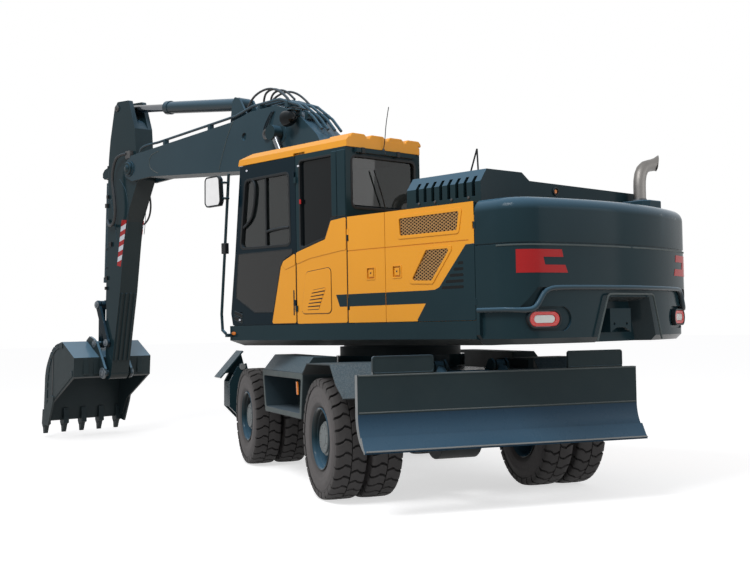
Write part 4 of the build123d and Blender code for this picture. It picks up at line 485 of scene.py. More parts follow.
zoneFinishes = {
    # node: [(finish, which faces take it, by middle in the upper's axes and by way out)]
    "side_steps": [("treadPlate", lambda spot, way: way.z > 0.4 and spot.z > 1.05)],
    "rear_mudguards": [("treadPlate", lambda spot, way: way.z > 0.35)],
    "stabiliser_left": [("treadPlate", lambda spot, way: way.z > 0.5 and spot.z > 0.92)],
    "stabiliser_right": [("treadPlate", lambda spot, way: way.z > 0.5 and spot.z > 0.92)],
    "cab_glass": [("blackGloss", lambda spot, way: spot.x < -1.19)],
    "side_door_front": [("slatePaint", lambda spot, way: spot.y > -0.64 and 1.62 < spot.z < 1.8)],
    "side_door_rear": [("slatePaint", lambda spot, way: spot.y < -2.1 and spot.z < 2.135),
                       ("slatePaint", lambda spot, way: way.x > -0.9 and spot.z < 1.54)],
    "dozer_blade": [("edgePale", lambda spot, way: abs(way.dot(chassisSide)) > 0.9 and abs(spot.x) > 0.9),
                    ("bladePaint", lambda spot, way: spot.z < 0.82)],
    # the bucket's upward top faces take the lighter blue paint: painted sky reflection
    "bucket": [("bucketTopPaintedSky", lambda spot, way: way.z > 0.45 and spot.z > 1.1)],
    "upper_deck": [("slateDull", lambda spot, way: spot.z < 1.4)],
    "arm": [("slateDull", lambda spot, way: way.y < -0.5)],
    "boom": [("slateRough", lambda spot, way: way.z < -0.6)],
    # the hood's upward faces take the lighter slate: painted light on its top
    "engine_hood": [("slatePaintedLit", lambda spot, way: way.z > 0.5)],
}
chassisSide = chassisPlace.to_3x3() @ Vector((1, 0, 0))
rodEyes = {
    # node: the eye that is painted, as (along, up) or (across, up) in its own machine's axes
    "boom_rods": (1.787, 3.684), "arm_rod": (5.398, 4.533), "bucket_rod": (5.93, 1.855),
}
for rodNode, rodEye in rodEyes.items():
    zoneFinishes[rodNode] = [
        ("slatePaint", lambda spot, way, eye=Vector(rodEye): (Vector((spot.y, spot.z)) - eye).length < 0.1),
    ]


def shadeSmooth(work, sharp):
    # smooth faces, with every edge past the angle kept sharp
    for edge in work.edges:
        edge.smooth = len(edge.link_faces) != 2 or edge.calc_face_angle(0) < math.radians(sharp)
    for face in work.faces:
        face.smooth = True


def roundEdges(piece, radius, angle=32):
    rounding = piece.modifiers.new("rounding", "BEVEL")
    rounding.width = radius
    rounding.segments = 2
    rounding.limit_method = "ANGLE"
    rounding.angle_limit = math.radians(angle)
    rounding.harden_normals = True


def softenNode(name, radius):
    source = nodes[name]
    mesh = source.data.copy()
    mesh.name = name + "Soft"
    work = bmesh.new()
    work.from_mesh(mesh)
    bmesh.ops.remove_doubles(work, verts=work.verts, dist=1e-5)
    bmesh.ops.dissolve_limit(work, angle_limit=math.radians(0.6), verts=work.verts, edges=work.edges)
    shadeSmooth(work, 30)
    for face in work.faces:
        for number, (_, taken) in enumerate(zoneFinishes.get(name, [])):
            if taken(upperSpot(face.calc_center_median()), face.normal):
                face.material_index = number + 1
                break
    work.to_mesh(mesh)
    work.free()
    for zoneFinish, _ in zoneFinishes.get(name, []):
        mesh.materials.append(finishes[zoneFinish])
    if "custom_normal" in mesh.attributes:
        mesh.attributes.remove(mesh.attributes["custom_normal"])
    piece = standObject(name + "Soft", mesh)
    roundEdges(piece, radius, 30)
    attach(piece, source["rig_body"])
    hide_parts(name)
    return piece


for softName, softRadius in softEdges.items():
    softenNode(softName, softRadius)
print("edges softened:", len(softEdges))


# Mesh tools: every size below is in metres, in the upper machine's or the chassis' own axes

def bindPiece(piece, host, replaces=()):
    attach(piece, nodes[host]["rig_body"])
    if replaces:
        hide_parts(*replaces)
    return piece


def addPiece(name, work, sharp, host, finish, place=upperPlace, rounding=0, replaces=()):
    mesh = toMesh(work, name, sharp)
    mesh.transform(place)
    mesh.update()
    piece = standObject(name, mesh)
    coat(piece, finish)
    if rounding:
        roundEdges(piece, rounding)
    return bindPiece(piece, host, replaces)


def toMesh(work, name, sharp=32):
    bmesh.ops.recalc_face_normals(work, faces=work.faces)
    shadeSmooth(work, sharp)
    mesh = bpy.data.meshes.new(name)
    work.to_mesh(mesh)
    work.free()
    return mesh


def spotOn(across, pair, depth):
    if across == "x":
        return (depth, pair[0], pair[1])
    if across == "y":
        return (pair[0], depth, pair[1])
    return (pair[0], pair[1], depth)


def box(left, low, right, high):
    return [(left, low), (right, low), (right, high), (left, high)]


def oval(across, up, width, height, steps):
    turns = [2 * math.pi * step / steps for step in range(steps)]
    return [(across + width * math.cos(turn), up + height * math.sin(turn)) for turn in turns]


def bridge(work, ring, other):
    # a closed band of faces between two rings of as many points
    for at in range(len(ring)):
        after = (at + 1) % len(ring)
        work.faces.new((ring[at], ring[after], other[after], other[at]))


def prism(work, outline, low, high, across="x"):
    # an outline pulled along one axis
    near = [work.verts.new(spotOn(across, pair, low)) for pair in outline]
    far = [work.verts.new(spotOn(across, pair, high)) for pair in outline]
    work.faces.new(near)
    work.faces.new(far[::-1])
    bridge(work, near, far)


def frameBand(work, outer, inner, low, high, across="x"):
    # a flat ring between two outlines of as many points
    rows = [[work.verts.new(spotOn(across, pair, depth)) for pair in line]
            for line, depth in ((outer, low), (outer, high), (inner, high), (inner, low))]
    for row, other in zip(rows, rows[1:] + rows[:1]):
        bridge(work, row, other)


def lathe(work, profile, steps, centre=(0, 0, 0), axis="x"):
    # a closed profile of (along, radius) pairs turned round an axis through the centre
    rings = []
    for step in range(steps):
        turn = 2 * math.pi * step / steps
        ring = []
        for along, radius in profile:
            side, up = radius * math.cos(turn), radius * math.sin(turn)
            spot = {"x": (along, side, up), "y": (side, along, up), "z": (side, up, along)}[axis]
            ring.append(work.verts.new(Vector(centre) + Vector(spot)))
        rings.append(ring)
    for ring, other in zip(rings, rings[1:] + rings[:1]):
        for at in range(len(profile)):
            after = (at + 1) % len(profile)
            if profile[at][1] < 1e-6 and profile[after][1] < 1e-6:
                continue
            work.faces.new((ring[at], ring[after], other[after], other[at]))
    bmesh.ops.remove_doubles(work, verts=work.verts, dist=1e-6)


def turnedPiece(name, profile, steps, centre, axis, sharp, host, finish):
    work = bmesh.new()
    lathe(work, profile, steps, centre, axis)
    return addPiece(name, work, sharp, host, finish)


def roundOutline(points, radius, steps=5):
    # a polygon with each corner turned into an arc
    shaped = []
    for at, point in enumerate(points):
        here = Vector(point)
        back = (Vector(points[at - 1]) - here)
        ahead = (Vector(points[(at + 1) % len(points)]) - here)
        half = back.angle(ahead) / 2
        cut = min(radius / math.tan(half), 0.49 * back.length, 0.49 * ahead.length)
        start, end = here + back.normalized() * cut, here + ahead.normalized() * cut
        middle = here + (back.normalized() + ahead.normalized()).normalized() * cut / math.cos(half)
        first, last = start - middle, end - middle
        for step in range(steps + 1):
            share = step / steps
            spoke = first.lerp(last, share).normalized() * first.length
            shaped.append(tuple(middle + spoke))
    return shaped


def insetOutline(points, distance):
    # the same polygon drawn in by a distance, whichever way it runs round
    area = sum(a[0] * b[1] - b[0] * a[1] for a, b in zip(points, points[1:] + points[:1]))
    turn = 1 if area > 0 else -1
    moved = []
    for at, point in enumerate(points):
        here = Vector(point)
        back = (here - Vector(points[at - 1])).normalized()
        ahead = (Vector(points[(at + 1) % len(points)]) - here).normalized()
        normal = Vector((-(back.y + ahead.y), back.x + ahead.x)).normalized() * turn
        stretch = max(0.5, math.sqrt((1 + back.dot(ahead)) / 2))
        moved.append(tuple(here + normal * distance / stretch))
    return moved


def tubeCurve(name, points, radius, host, finish, place=upperPlace, sides=5):
    # a bent pipe: a smooth curve through its corners' neighbourhood, given thickness
    curve = bpy.data.curves.new(name, "CURVE")
    curve.dimensions = "3D"
    curve.bevel_depth = radius
    curve.bevel_resolution = sides
    curve.use_fill_caps = True
    line = curve.splines.new("NURBS")
    line.points.add(len(points) - 1)
    for knot, point in zip(line.points, points):
        knot.co = (*(place @ Vector(point)), 1)
    line.order_u = 3
    line.use_endpoint_u = True
    line.resolution_u = 8
    piece = standObject(name, curve)
    coat(piece, finish)
    return bindPiece(piece, host)


def hexBolts(work, spots, radius, height, axis="x"):
    # hexagon heads on washers, each at its spot with its own outward way
    for spot, way in spots:
        profile = [(0, 0), (0, radius * 1.35), (way * height * 0.25, radius * 1.35), (way * height * 0.25, 0)]
        lathe(work, profile, 16, spot, axis)
        profile = [(0, 0), (0, radius), (way * height * 0.9, radius), (way * height, radius * 0.85),
                   (way * height, 0)]
        lathe(work, profile, 6, spot, axis)


# Wheels: one tyre, one rim and one hub, used at every place

tyreShape = {
    "lugs": 30,              # on each side of the tread
    "lugWidth": 0.086,
    "lugTaper": 0.012,
    "wall": [                # (across, radius) from the bead to the tread
        (0.104, 0.262), (0.111, 0.268), (0.117, 0.286), (0.127, 0.298), (0.1325, 0.312), (0.1345, 0.318),
        (0.1335, 0.324), (0.137, 0.342), (0.1385, 0.362), (0.1375, 0.366), (0.1388, 0.37), (0.1388, 0.392),
        (0.1365, 0.42), (0.1345, 0.424), (0.1345, 0.432), (0.132, 0.444), (0.1285, 0.449), (0.129, 0.458),
        (0.1285, 0.47), (0.126, 0.486), (0.118, 0.499), (0.1, 0.504), (0.05, 0.506),
    ],
    "lug": [                 # across, tread radius, root radius, shift round the tyre
        (0.004, 0.525, 0.5, 0.014), (0.03, 0.525, 0.5, 0.03), (0.058, 0.5245, 0.5, 0.036),
        (0.074, 0.524, 0.498, 0.018), (0.104, 0.522, 0.494, 0.004), (0.126, 0.517, 0.48, 0),
        (0.1345, 0.508, 0.468, 0), (0.1375, 0.494, 0.462, 0), (0.1345, 0.466, 0.458, 0),
    ],
}
tyreRadius = 0.525


def makeTyreMesh():
    # walls turned round the axle, with a row of swept lugs on each side of the tread
    work = bmesh.new()
    wall = tyreShape["wall"]
    profile = wall + [(-across, radius) for across, radius in wall[::-1]]
    profile += [(-0.09, 0.2545), (0.09, 0.2545)]
    lathe(work, profile, 120)
    pitch = 2 * math.pi / tyreShape["lugs"]
    for side, first in ((-1, 0), (1, 0.5)):
        for lug in range(tyreShape["lugs"]):
            middle = (lug + first) * pitch
            sections = []
            for across, top, root, shift in tyreShape["lug"]:
                ring = []
                for radius, way in ((root, -1), (top, -1), (top, 1), (root, 1)):
                    half = (tyreShape["lugWidth"] + (tyreShape["lugTaper"] if radius == root else 0)) / 2
                    turn = middle + (shift + way * half) / tyreRadius
                    ring.append(work.verts.new((side * across, radius * math.cos(turn), radius * math.sin(turn))))
                sections.append(ring)
            work.faces.new(sections[0])
            work.faces.new(sections[-1][::-1])
            for ring, other in zip(sections, sections[1:]):
                bridge(work, ring, other)
    return toMesh(work, "tyre", 34)


rimShape = {
    "bolts": 10,
    "boltCircle": 0.178,
    "hubHoles": 8,
    "hubCircle": 0.094,
}


def makeRimMesh():
    work = bmesh.new()
    profile = [
        (0.942, 0.132), (0.942, 0.205), (0.928, 0.225), (0.9, 0.236), (0.72, 0.24), (0.686, 0.252), (0.68, 0.262),
        (0.683, 0.268), (0.691, 0.268), (0.695, 0.26), (0.7, 0.2538), (1.232, 0.2538), (1.237, 0.26), (1.241, 0.268),
        (1.249, 0.268), (1.252, 0.262), (1.246, 0.252), (1.238, 0.247), (1.222, 0.244), (1.205, 0.2435), (1.2, 0.238),
        (1.12, 0.236), (1.06, 0.232), (1.012, 0.222), (0.994, 0.206), (0.99, 0.195), (0.99, 0.151), (0.985, 0.132),
    ]
    lathe(work, profile, 96)
    return toMesh(work, "rim", 40)


def makeHubMesh():
    work = bmesh.new()
    profile = [
        (0.878, 0.0905), (0.878, 0.131), (0.984, 0.131), (0.991, 0.15), (1.192, 0.15), (1.2, 0.146), (1.204, 0.134),
        (1.206, 0.128), (1.217, 0.127), (1.222, 0.121), (1.222, 0.118), (1.2185, 0.116), (1.2185, 0.066),
        (1.222, 0.062), (1.222, 0), (0.998, 0), (0.998, 0.0905),
    ]
    lathe(work, profile, 64)
    nuts = []
    for across, up in oval(0, 0, rimShape["boltCircle"], rimShape["boltCircle"], rimShape["bolts"]):
        nuts.append(((0.99, across, up), 1))
    hexBolts(work, nuts, 0.015, 0.022)
    return toMesh(work, "hub", 30)


def makeHubHoles():
    # black discs on the hub's face, the painted shade of its bores, each with its thin rim
    work = bmesh.new()
    for at in range(rimShape["hubHoles"]):
        turn = 2 * math.pi * (at + 0.5) / rimShape["hubHoles"]
        spot = (1.2185, rimShape["hubCircle"] * math.cos(turn), rimShape["hubCircle"] * math.sin(turn))
        lathe(work, [(0, 0), (0, 0.0095), (0.0006, 0.0095), (0.0006, 0)], 16, spot)
    return toMesh(work, "hubHoles", 30)


wheelMeshes = {"tyre": makeTyreMesh(), "rim": makeRimMesh(), "hub": makeHubMesh(), "holes": makeHubHoles()}
wheelPlaces = [
    # name, side, axle place along the chassis
    ("front_left", -1, 1.524),
    ("front_right", 1, 1.524),
    ("rear_left", -1, -1.327),
    ("rear_right", 1, -1.327),
]
twinPlaces = (0.806, 1.126)
axleHeight = 0.525


def standWheelPiece(name, mesh, spot, turn, host, finish, replaces=()):
    piece = standObject(name, mesh)
    if not mesh.materials:
        mesh.materials.append(finishes[finish])
    piece.matrix_world = chassisPlace @ Matrix.Translation(spot) @ Matrix.Rotation(turn, 4, "Z")
    return bindPiece(piece, host, replaces)


for wheelName, side, axleY in wheelPlaces:
    rimNode, tyreNode = "rims_" + wheelName, "tyres_" + wheelName
    turn = 0 if side > 0 else math.pi
    middle = (0, axleY, axleHeight)
    standWheelPiece("rim_" + wheelName, wheelMeshes["rim"], middle, turn, rimNode, "slatePaint", (rimNode,))
    standWheelPiece("hub_" + wheelName, wheelMeshes["hub"], middle, turn, rimNode, "hubGrey")
    standWheelPiece("hubHoles_" + wheelName, wheelMeshes["holes"], middle, turn, rimNode, "blackGloss")
    for number, twinX in enumerate(twinPlaces):
        spot = (side * twinX, axleY, axleHeight)
        tyre = standWheelPiece(
            "tyre_" + wheelName + ("_in", "_out")[number], wheelMeshes["tyre"], spot, turn, tyreNode, "tyreRubber",
            (tyreNode,),
        )
        roundEdges(tyre, 0.003, 40)
print("wheels stand:", len(wheelPlaces))

# Counterweight: red bars, ridge and ledge, tail lamps with their bezels, lift plugs

tail = {
    "middle": 0.66, "curve": 3.45,      # centre of the tail's arc and its radius
    "knee": 1.0295, "cornerAt": (0.94, -2.3465), "cornerCurve": 0.3,
    "reach": -2.7899,                   # no skin goes further back
    "bars": [                           # height, then where the inner end lies at the low and at the high edge
        (1.885, 1.947, 0.77, 0.795), (1.947, 2.009, 0.985, 1), (2.009, 2.07, 0.812, 0.825),
    ],
    "barEnd": 1.186,
    "ridge": (2.1, 2.113),
    "ledge": [(1.2375, 1.6), (1.225, 1.6), (1.19, 1.597), (1.14, 1.592), (1.085, 1.6), (1.045, 1.64), (1.01, 1.7),
              (0.975, 1.745), (0.92, 1.765), (0.84, 1.77), (0.6, 1.772), (0.36, 1.772), (0.12, 1.772), (0, 1.772)],
    "notch": [(0.468, 1.335), (0.4, 1.52), (0.336, 1.692), (0.322, 1.712), (0.29, 1.717), (0.15, 1.717), (0, 1.717)],
    "lampAt": (0.964, -2.59, 1.52), "lampTurn": 16, "lampSize": (0.322, 0.15),
    "liftPlug": (0.55, -2.45, 2.496),
}


def tailSpot(x, out):
    # the point of the tail's skin at x, moved out along the skin's normal
    if abs(x) <= tail["knee"]:
        middle = Vector((0, tail["middle"]))
        base = Vector((x, tail["middle"] - math.sqrt(tail["curve"] ** 2 - x * x)))
    else:
        middle = Vector((math.copysign(tail["cornerAt"][0], x), tail["cornerAt"][1]))
        base = Vector((x, middle.y - math.sqrt(max(tail["cornerCurve"] ** 2 - (x - middle.x) ** 2, 0))))
    spot = base + (base - middle).normalized() * out
    return spot.x, max(spot.y, tail["reach"])


def tailSkin(work, lowXs, highXs, low, high, depth=0.0025):
    # a thin patch that follows the tail's skin between two rows of places
    rows = []
    for lowX, highX in zip(lowXs, highXs):
        rows.append([work.verts.new((*tailSpot(x, out), z)) for x, out, z in (
            (lowX, -0.003, low), (lowX, depth, low), (highX, depth, high), (highX, -0.003, high))])
    for row, other in zip(rows, rows[1:]):
        bridge(work, row, other)
    work.faces.new(rows[0])
    work.faces.new(rows[-1][::-1])


def spread(first, last, steps):
    return [first + (last - first) * at / steps for at in range(steps + 1)]


def makeRedBars():
    work = bmesh.new()
    for side in (-1, 1):
        for low, high, lowX, highX in tail["bars"]:
            tailSkin(work, spread(side * lowX, side * tail["barEnd"], 14),
                     spread(side * highX, side * tail["barEnd"], 14),
                     low, high)
    addPiece("tailBars", work, 50, "counterweight", "redPaint")


def makeTailLines():
    # the ridge under the crown, the ledge's rounded lip and the notch's rim; the ridge's pale band, the lip's lighter
    # slate and the rim's pale bead are painted highlights
    work = bmesh.new()
    for side in (-1, 1):
        xs = [side * 1.2395 * (1 - (1 - share) ** 2.4) for share in spread(0, 1, 40)]
        tailSkin(work, xs, xs, *tail["ridge"], depth=0.005)
    addPiece("tailRidgeHighlight", work, 50, "counterweight", "frameDust", rounding=0.0015)
    for label, radius, out, finish in (("ledge", 0.022, -0.012, "slatePaintedLit"), ("notch", 0.008, -0.002, "frameDust")):
        half = tail[label]
        line = [(-x, z) for x, z in half] + [(x, z) for x, z in half[-2::-1]]
        line = [(*tailSpot(x, out), z) for x, z in line]
        if label == "ledge":
            # on along the weight's flat sides
            ahead = [(-1.227, y, 1.6) for y in (-2.15, -2.22, -2.29, -2.34)]
            line = ahead + line + [(-x, y, z) for x, y, z in ahead[::-1]]
        tubeCurve("tail" + label.capitalize(), line, radius, "counterweight", finish)


def slotOutline(length, height, steps=10):
    half, radius = length / 2 - height / 2, height / 2
    line = []
    for end in (1, -1):
        for step in range(steps + 1):
            turn = math.pi * (step / steps - 0.5) + (0 if end > 0 else math.pi)
            line.append((end * half + radius * math.cos(turn), radius * math.sin(turn)))
    return line


def lampPlace(side):
    turn = math.radians(tail["lampTurn"]) * side
    spot = Vector((side * tail["lampAt"][0], tail["lampAt"][1], tail["lampAt"][2]))
    return upperPlace @ Matrix.Translation(spot) @ Matrix.Rotation(turn, 4, "Z")


def makeTailLamps():
    length, height = tail["lampSize"]
    bezel, red, clear, glow = bmesh.new(), bmesh.new(), bmesh.new(), bmesh.new()
    outer, middle = slotOutline(length, height), slotOutline(length - 0.03, height - 0.03)
    inner, core = slotOutline(length - 0.034, height - 0.034), slotOutline(length - 0.12, height - 0.085)
    frameBand(bezel, outer, middle, -0.04, -0.0005, "y")
    frameBand(red, inner, core, -0.036, -0.01, "y")
    prism(clear, slotOutline(length - 0.122, height - 0.087), -0.031, -0.012, "y")
    prism(glow, slotOutline(length - 0.02, height - 0.02), -0.009, -0.001, "y")
    for form, label, finish, radius in (
        (bezel, "lampBezel", "plasticDark", 0.004), (red, "lampRing", "lampRed", 0.005),
        (clear, "lampCore", "lampClear", 0.003), (glow, "lampBack", "chromeRod", 0.001),
    ):
        for side, word in ((-1, "left"), (1, "right")):
            taken = ("lamps",) if label == "lampRing" else ()
            addPiece(label + "_" + word, form.copy(), 40, "counterweight", finish, lampPlace(side), radius, taken)


def makeTailFittings():
    work = bmesh.new()
    across, along, up = tail["liftPlug"]
    for side in (-1, 1):
        lathe(work, [(0, 0), (0, 0.045), (0.004, 0.045), (0.006, 0.03), (0.006, 0)], 24, (side * across, along, up),
              "z")
    addPiece("liftPlugs", work, 30, "counterweight", "plasticDark")


makeRedBars()
makeTailLines()
makeTailLamps()
makeTailFittings()
print("tail dressed")


# Yellow side: cover of the cab's lower rear, box door, seams, stripe, grilles and slots

sidePanel = {
    "face": -1.24,           # the side's plane
    "skin": 0.006,
    "coverRear": [(-0.598, 1.523), (0.112, 1.523), (0.112, 2.198), (0.066, 2.21), (-0.312, 2.297), (-0.395, 2.462),
                  (-0.598, 2.478)],
    "coverDoor": [(0.13, 1.53), (0.502, 1.53), (0.352, 2.078), (0.303, 2.13), (0.13, 2.194)],
    "coverTop": [(-0.598, 2.18), (-0.532, 2.178), (-0.095, 2.133), (0.112, 2.086), (0.112, 2.198), (0.066, 2.21),
                 (-0.312, 2.297), (-0.395, 2.462), (-0.598, 2.478)],
    "doorTop": [(0.13, 2.082), (0.276, 2.046), (0.334, 2.094), (0.303, 2.13), (0.13, 2.194)],
    "boxDoor": [(-0.03, 2.005), (-0.383, 2.035), (-0.385, 1.615), (0.045, 1.618)],
    "louvre": [(-0.128, 1.836), (-0.319, 1.856), (-0.213, 1.651), (-0.041, 1.649)],
    "slats": 6,
    "tailPatch": [(-2.1385, 2.14), (-2.045, 2.137), (-1.742, 1.802), (-1.69, 1.782), (-1.602, 1.781), (-1.584, 1.672),
                  (-1.47, 1.5205), (-2.1385, 1.5205)],
    "stripe": (1.67, 1.78),
    "upperGrille": [(-1.265, 2.42), (-1.275, 2.246), (-1.96, 2.246), (-1.995, 2.427)],
    "lowerGrille": [(-1.589, 2.131), (-1.894, 2.128), (-1.661, 1.846), (-1.394, 1.857)],
    "wirePitch": 0.0235, "wireWidth": 0.0085, "wireLean": 62,
}


def skinPiece(name, outline, host, finish, low, high, corner=0, rounding=0.002):
    # a raised skin on the left side, from `low` to `high` outward of the side's plane
    work = bmesh.new()
    line = roundOutline(outline, corner) if corner else outline
    prism(work, line, sidePanel["face"] - high, sidePanel["face"] - low)
    return addPiece(name, work, 40, host, finish, rounding=rounding)


def bandPiece(name, outline, host, finish, inward, low, high, corner=0.02, rounding=0.002, outward=0):
    # a raised frame that follows an outline on the left side
    work = bmesh.new()
    outer = roundOutline(insetOutline(outline, -outward), corner)
    inner = roundOutline(insetOutline(outline, inward), max(corner - inward, 0.004))
    frameBand(work, outer, inner, sidePanel["face"] - high, sidePanel["face"] - low)
    return addPiece(name, work, 40, host, finish, rounding=rounding)


def clipLine(outline, start, way):
    # the part of a line that lies inside a convex outline, as two distances along it
    low, high = -10, 10
    area = sum(a[0] * b[1] - b[0] * a[1] for a, b in zip(outline, outline[1:] + outline[:1]))
    turn = 1 if area > 0 else -1
    for first, second in zip(outline, outline[1:] + outline[:1]):
        edge = Vector(second) - Vector(first)
        normal = Vector((-edge.y, edge.x)) * turn
        slope, gap = normal.dot(way), normal.dot(start - Vector(first))
        if abs(slope) < 1e-9:
            if gap < 0:
                return None
            continue
        cut = -gap / slope
        if slope > 0:
            low = max(low, cut)
        else:
            high = min(high, cut)
    return (low, high) if high - low > 0.004 else None


def wireMesh(name, outline, host, depth):
    # crossing flat wires inside an outline, on a black sheet that is painted shade behind the grille
    work = bmesh.new()
    middle = Vector((sum(p[0] for p in outline), sum(p[1] for p in outline))) / len(outline)
    for layer, lean in enumerate((-sidePanel["wireLean"] / 2, sidePanel["wireLean"] / 2)):
        way = Vector((math.cos(math.radians(lean)), math.sin(math.radians(lean))))
        normal = Vector((-way.y, way.x))
        for number in range(-40, 41):
            start = middle + normal * number * sidePanel["wirePitch"]
            span = clipLine(outline, start, way)
            if span is None:
                continue
            half = normal * sidePanel["wireWidth"] / 2
            first, last = start + way * span[0], start + way * span[1]
            line = [tuple(first - half), tuple(last - half), tuple(last + half), tuple(first + half)]
            front = sidePanel["face"] + depth + layer * 0.0012
            prism(work, line, front, front + 0.0022)
    addPiece(name + "Wires", work, 40, host, "meshCopper")
    # black backing behind the wires: painted shade
    skinPiece(name + "Back", insetOutline(outline, -0.004), host, "blackGloss", -0.024, -0.0085)


def makeYellowSide():
    panel = sidePanel
    for name, outline, host, low, high, corner, rounding in (
        ("cabCover", "coverRear", "cab_shell", -0.002, panel["skin"], 0.02, 0.004),
        ("cabCoverTop", "coverTop", "cab_shell", 0.004, 0.012, 0.02, 0.005),
        ("doorCover", "coverDoor", "cab_door", -0.002, panel["skin"], 0.02, 0.004),
        ("doorCoverTop", "doorTop", "cab_door", 0.004, 0.012, 0.015, 0.005),
    ):
        skinPiece(name, panel[outline], host, "yellowPaint", low, high, corner, rounding)
    skinPiece("boxGap", insetOutline(panel["boxDoor"], -0.006), "cab_shell", "plasticDark", 0.004, 0.0068, 0.05,
              0.0005)
    skinPiece("boxDoor", panel["boxDoor"], "cab_shell", "yellowPaint", 0.004, 0.014, 0.045, 0.005)
    # dark well behind the slats: painted shade
    skinPiece("louvreWell", panel["louvre"], "cab_shell", "plasticDark", 0.01, 0.0146, 0.014, 0.001)
    topLeft, topRight, lowRight, lowLeft = (Vector(point) for point in panel["louvre"])
    for slat in range(panel["slats"]):
        share = (slat + 0.5) / panel["slats"]
        left, right = topLeft.lerp(lowLeft, share), topRight.lerp(lowRight, share)
        rise = Vector((0, 0.011))
        line = [tuple(left - rise), tuple(right - rise), tuple(right + rise), tuple(left + rise)]
        skinPiece("boxSlat%d" % slat, line, "cab_shell", "yellowPaint", 0.013, 0.019, 0.004, 0.002)
    # black upright slot beside the door's seam, painted shade inside the slot
    skinPiece("coverSlot", box(0.148, 1.605, 0.166, 1.845), "cab_door", "plasticDark",
              0.003, 0.0072, 0.006, 0.0005)
    low, high = panel["stripe"]
    for label, start, end, host, depth, slant, tip in (
        ("stripeCab", -0.45, -0.597, "cab_shell", 0.0062, 0.05, 0),
        ("stripeFront", -0.612, -1.094, "side_door_front", 0, 0, 0),
        ("stripeRear", -1.102, -1.6, "side_door_rear", 0, 0, 0.05),
    ):
        line = [(start - slant, low), (start, high), (end - tip, high), (end, low)]
        skinPiece(label, line, host, "slatePaint", depth - 0.001, depth + 0.0012, 0, 0.0004)
    skinPiece("tailPatch", panel["tailPatch"], "side_door_rear", "slatePaint", -0.001, 0.004, 0.012, 0.002)
    # five black slanted slots: painted shade inside the openings
    for slot in range(5):
        up, reach = 1.795 + slot * 0.049, 1.765 + slot * 0.046
        line = [(-2.016, up - 0.012), (-reach, up - 0.012), (-reach - 0.012, up + 0.012), (-2.016, up + 0.012)]
        skinPiece("tailSlot%d" % slot, line, "side_door_rear", "blackGloss", 0, 0.0048, 0.01, 0.0006)
    for label in ("upperGrille", "lowerGrille"):
        outline = panel[label]
        bandPiece(label + "Frame", outline, "side_door_rear", "yellowPaint", 0.014, -0.014, 0.007, 0.03, 0.004, 0.016)
        wireMesh(label, insetOutline(outline, 0.002), "side_door_rear", 0.0035)
    for y, host in ((-0.912, "side_door_front"), (-1.241, "side_door_rear")):
        square = box(y - 0.052, 1.902, y + 0.052, 2.006)
        bandPiece("latchRim_" + host, square, host, "yellowPaint", 0.006, -0.01, 0.005, 0.012, 0.002, 0.006)
        square = box(y - 0.03, 1.922, y + 0.03, 1.986)
        skinPiece("latch_" + host, square, host, "yellowPaint", -0.008, 0.001, 0.008, 0.003)
        skinPiece("latchKey_" + host, oval(y, 1.957, 0.008, 0.008, 12), host, "slatePaint", 0, 0.003, 0, 0.001)
        side = box(y - 0.048, 1.925, y - 0.036, 1.985)
        skinPiece("latchGap_" + host, side, host, "plasticDark", -0.009, -0.004, 0.004, 0.001)


roofHumps = {"middles": (-1.08, -0.84, -0.6, -0.37), "half": 0.075, "foot": 0.105, "rows": (3.2, 3.226, 3.256)}


def makeRoofHumps():
    # raised humps along the roof's rear edge
    work = bmesh.new()
    half, foot = roofHumps["half"], roofHumps["foot"]
    low, brim, top = roofHumps["rows"]
    for middle in roofHumps["middles"]:
        line = [(middle - foot, low), (middle - foot, brim), (middle - half, top), (middle + half, top),
                (middle + foot, brim), (middle + foot, low)]
        prism(work, line, -0.6125, -0.3, "y")
    addPiece("roofHumps", work, 30, "cab_roof", "yellowPaint", rounding=0.01)


makeYellowSide()
makeRoofHumps()
print("yellow side dressed")


# Cab: window gaskets, grab rails, latch, vent, wiper, bar brackets, antenna and mirror

cabTrim = {
    "upperWindow": [(0.216, 2.978), (0.91, 2.972), (1.009, 2.287), (0.203, 2.277)],
    "blackPane": [(0.178, 2.236), (1.036, 2.234), (1.082, 1.8), (0.778, 1.648), (0.482, 1.645), (0.362, 2.082),
                  (0.315, 2.142), (0.178, 2.196)],
    "pillarStrips": ((-0.408, -0.478), (-0.486, -0.598)),
    "quarter": [(0.06, 3.07), (-0.545, 3.07), (-0.56, 2.52), (-0.395, 2.48), (-0.31, 2.31), (0.06, 2.23)],
    "rearWindow": (-1.17, -0.354, 2.57, 3.05),
    "rearFace": -0.603,
}


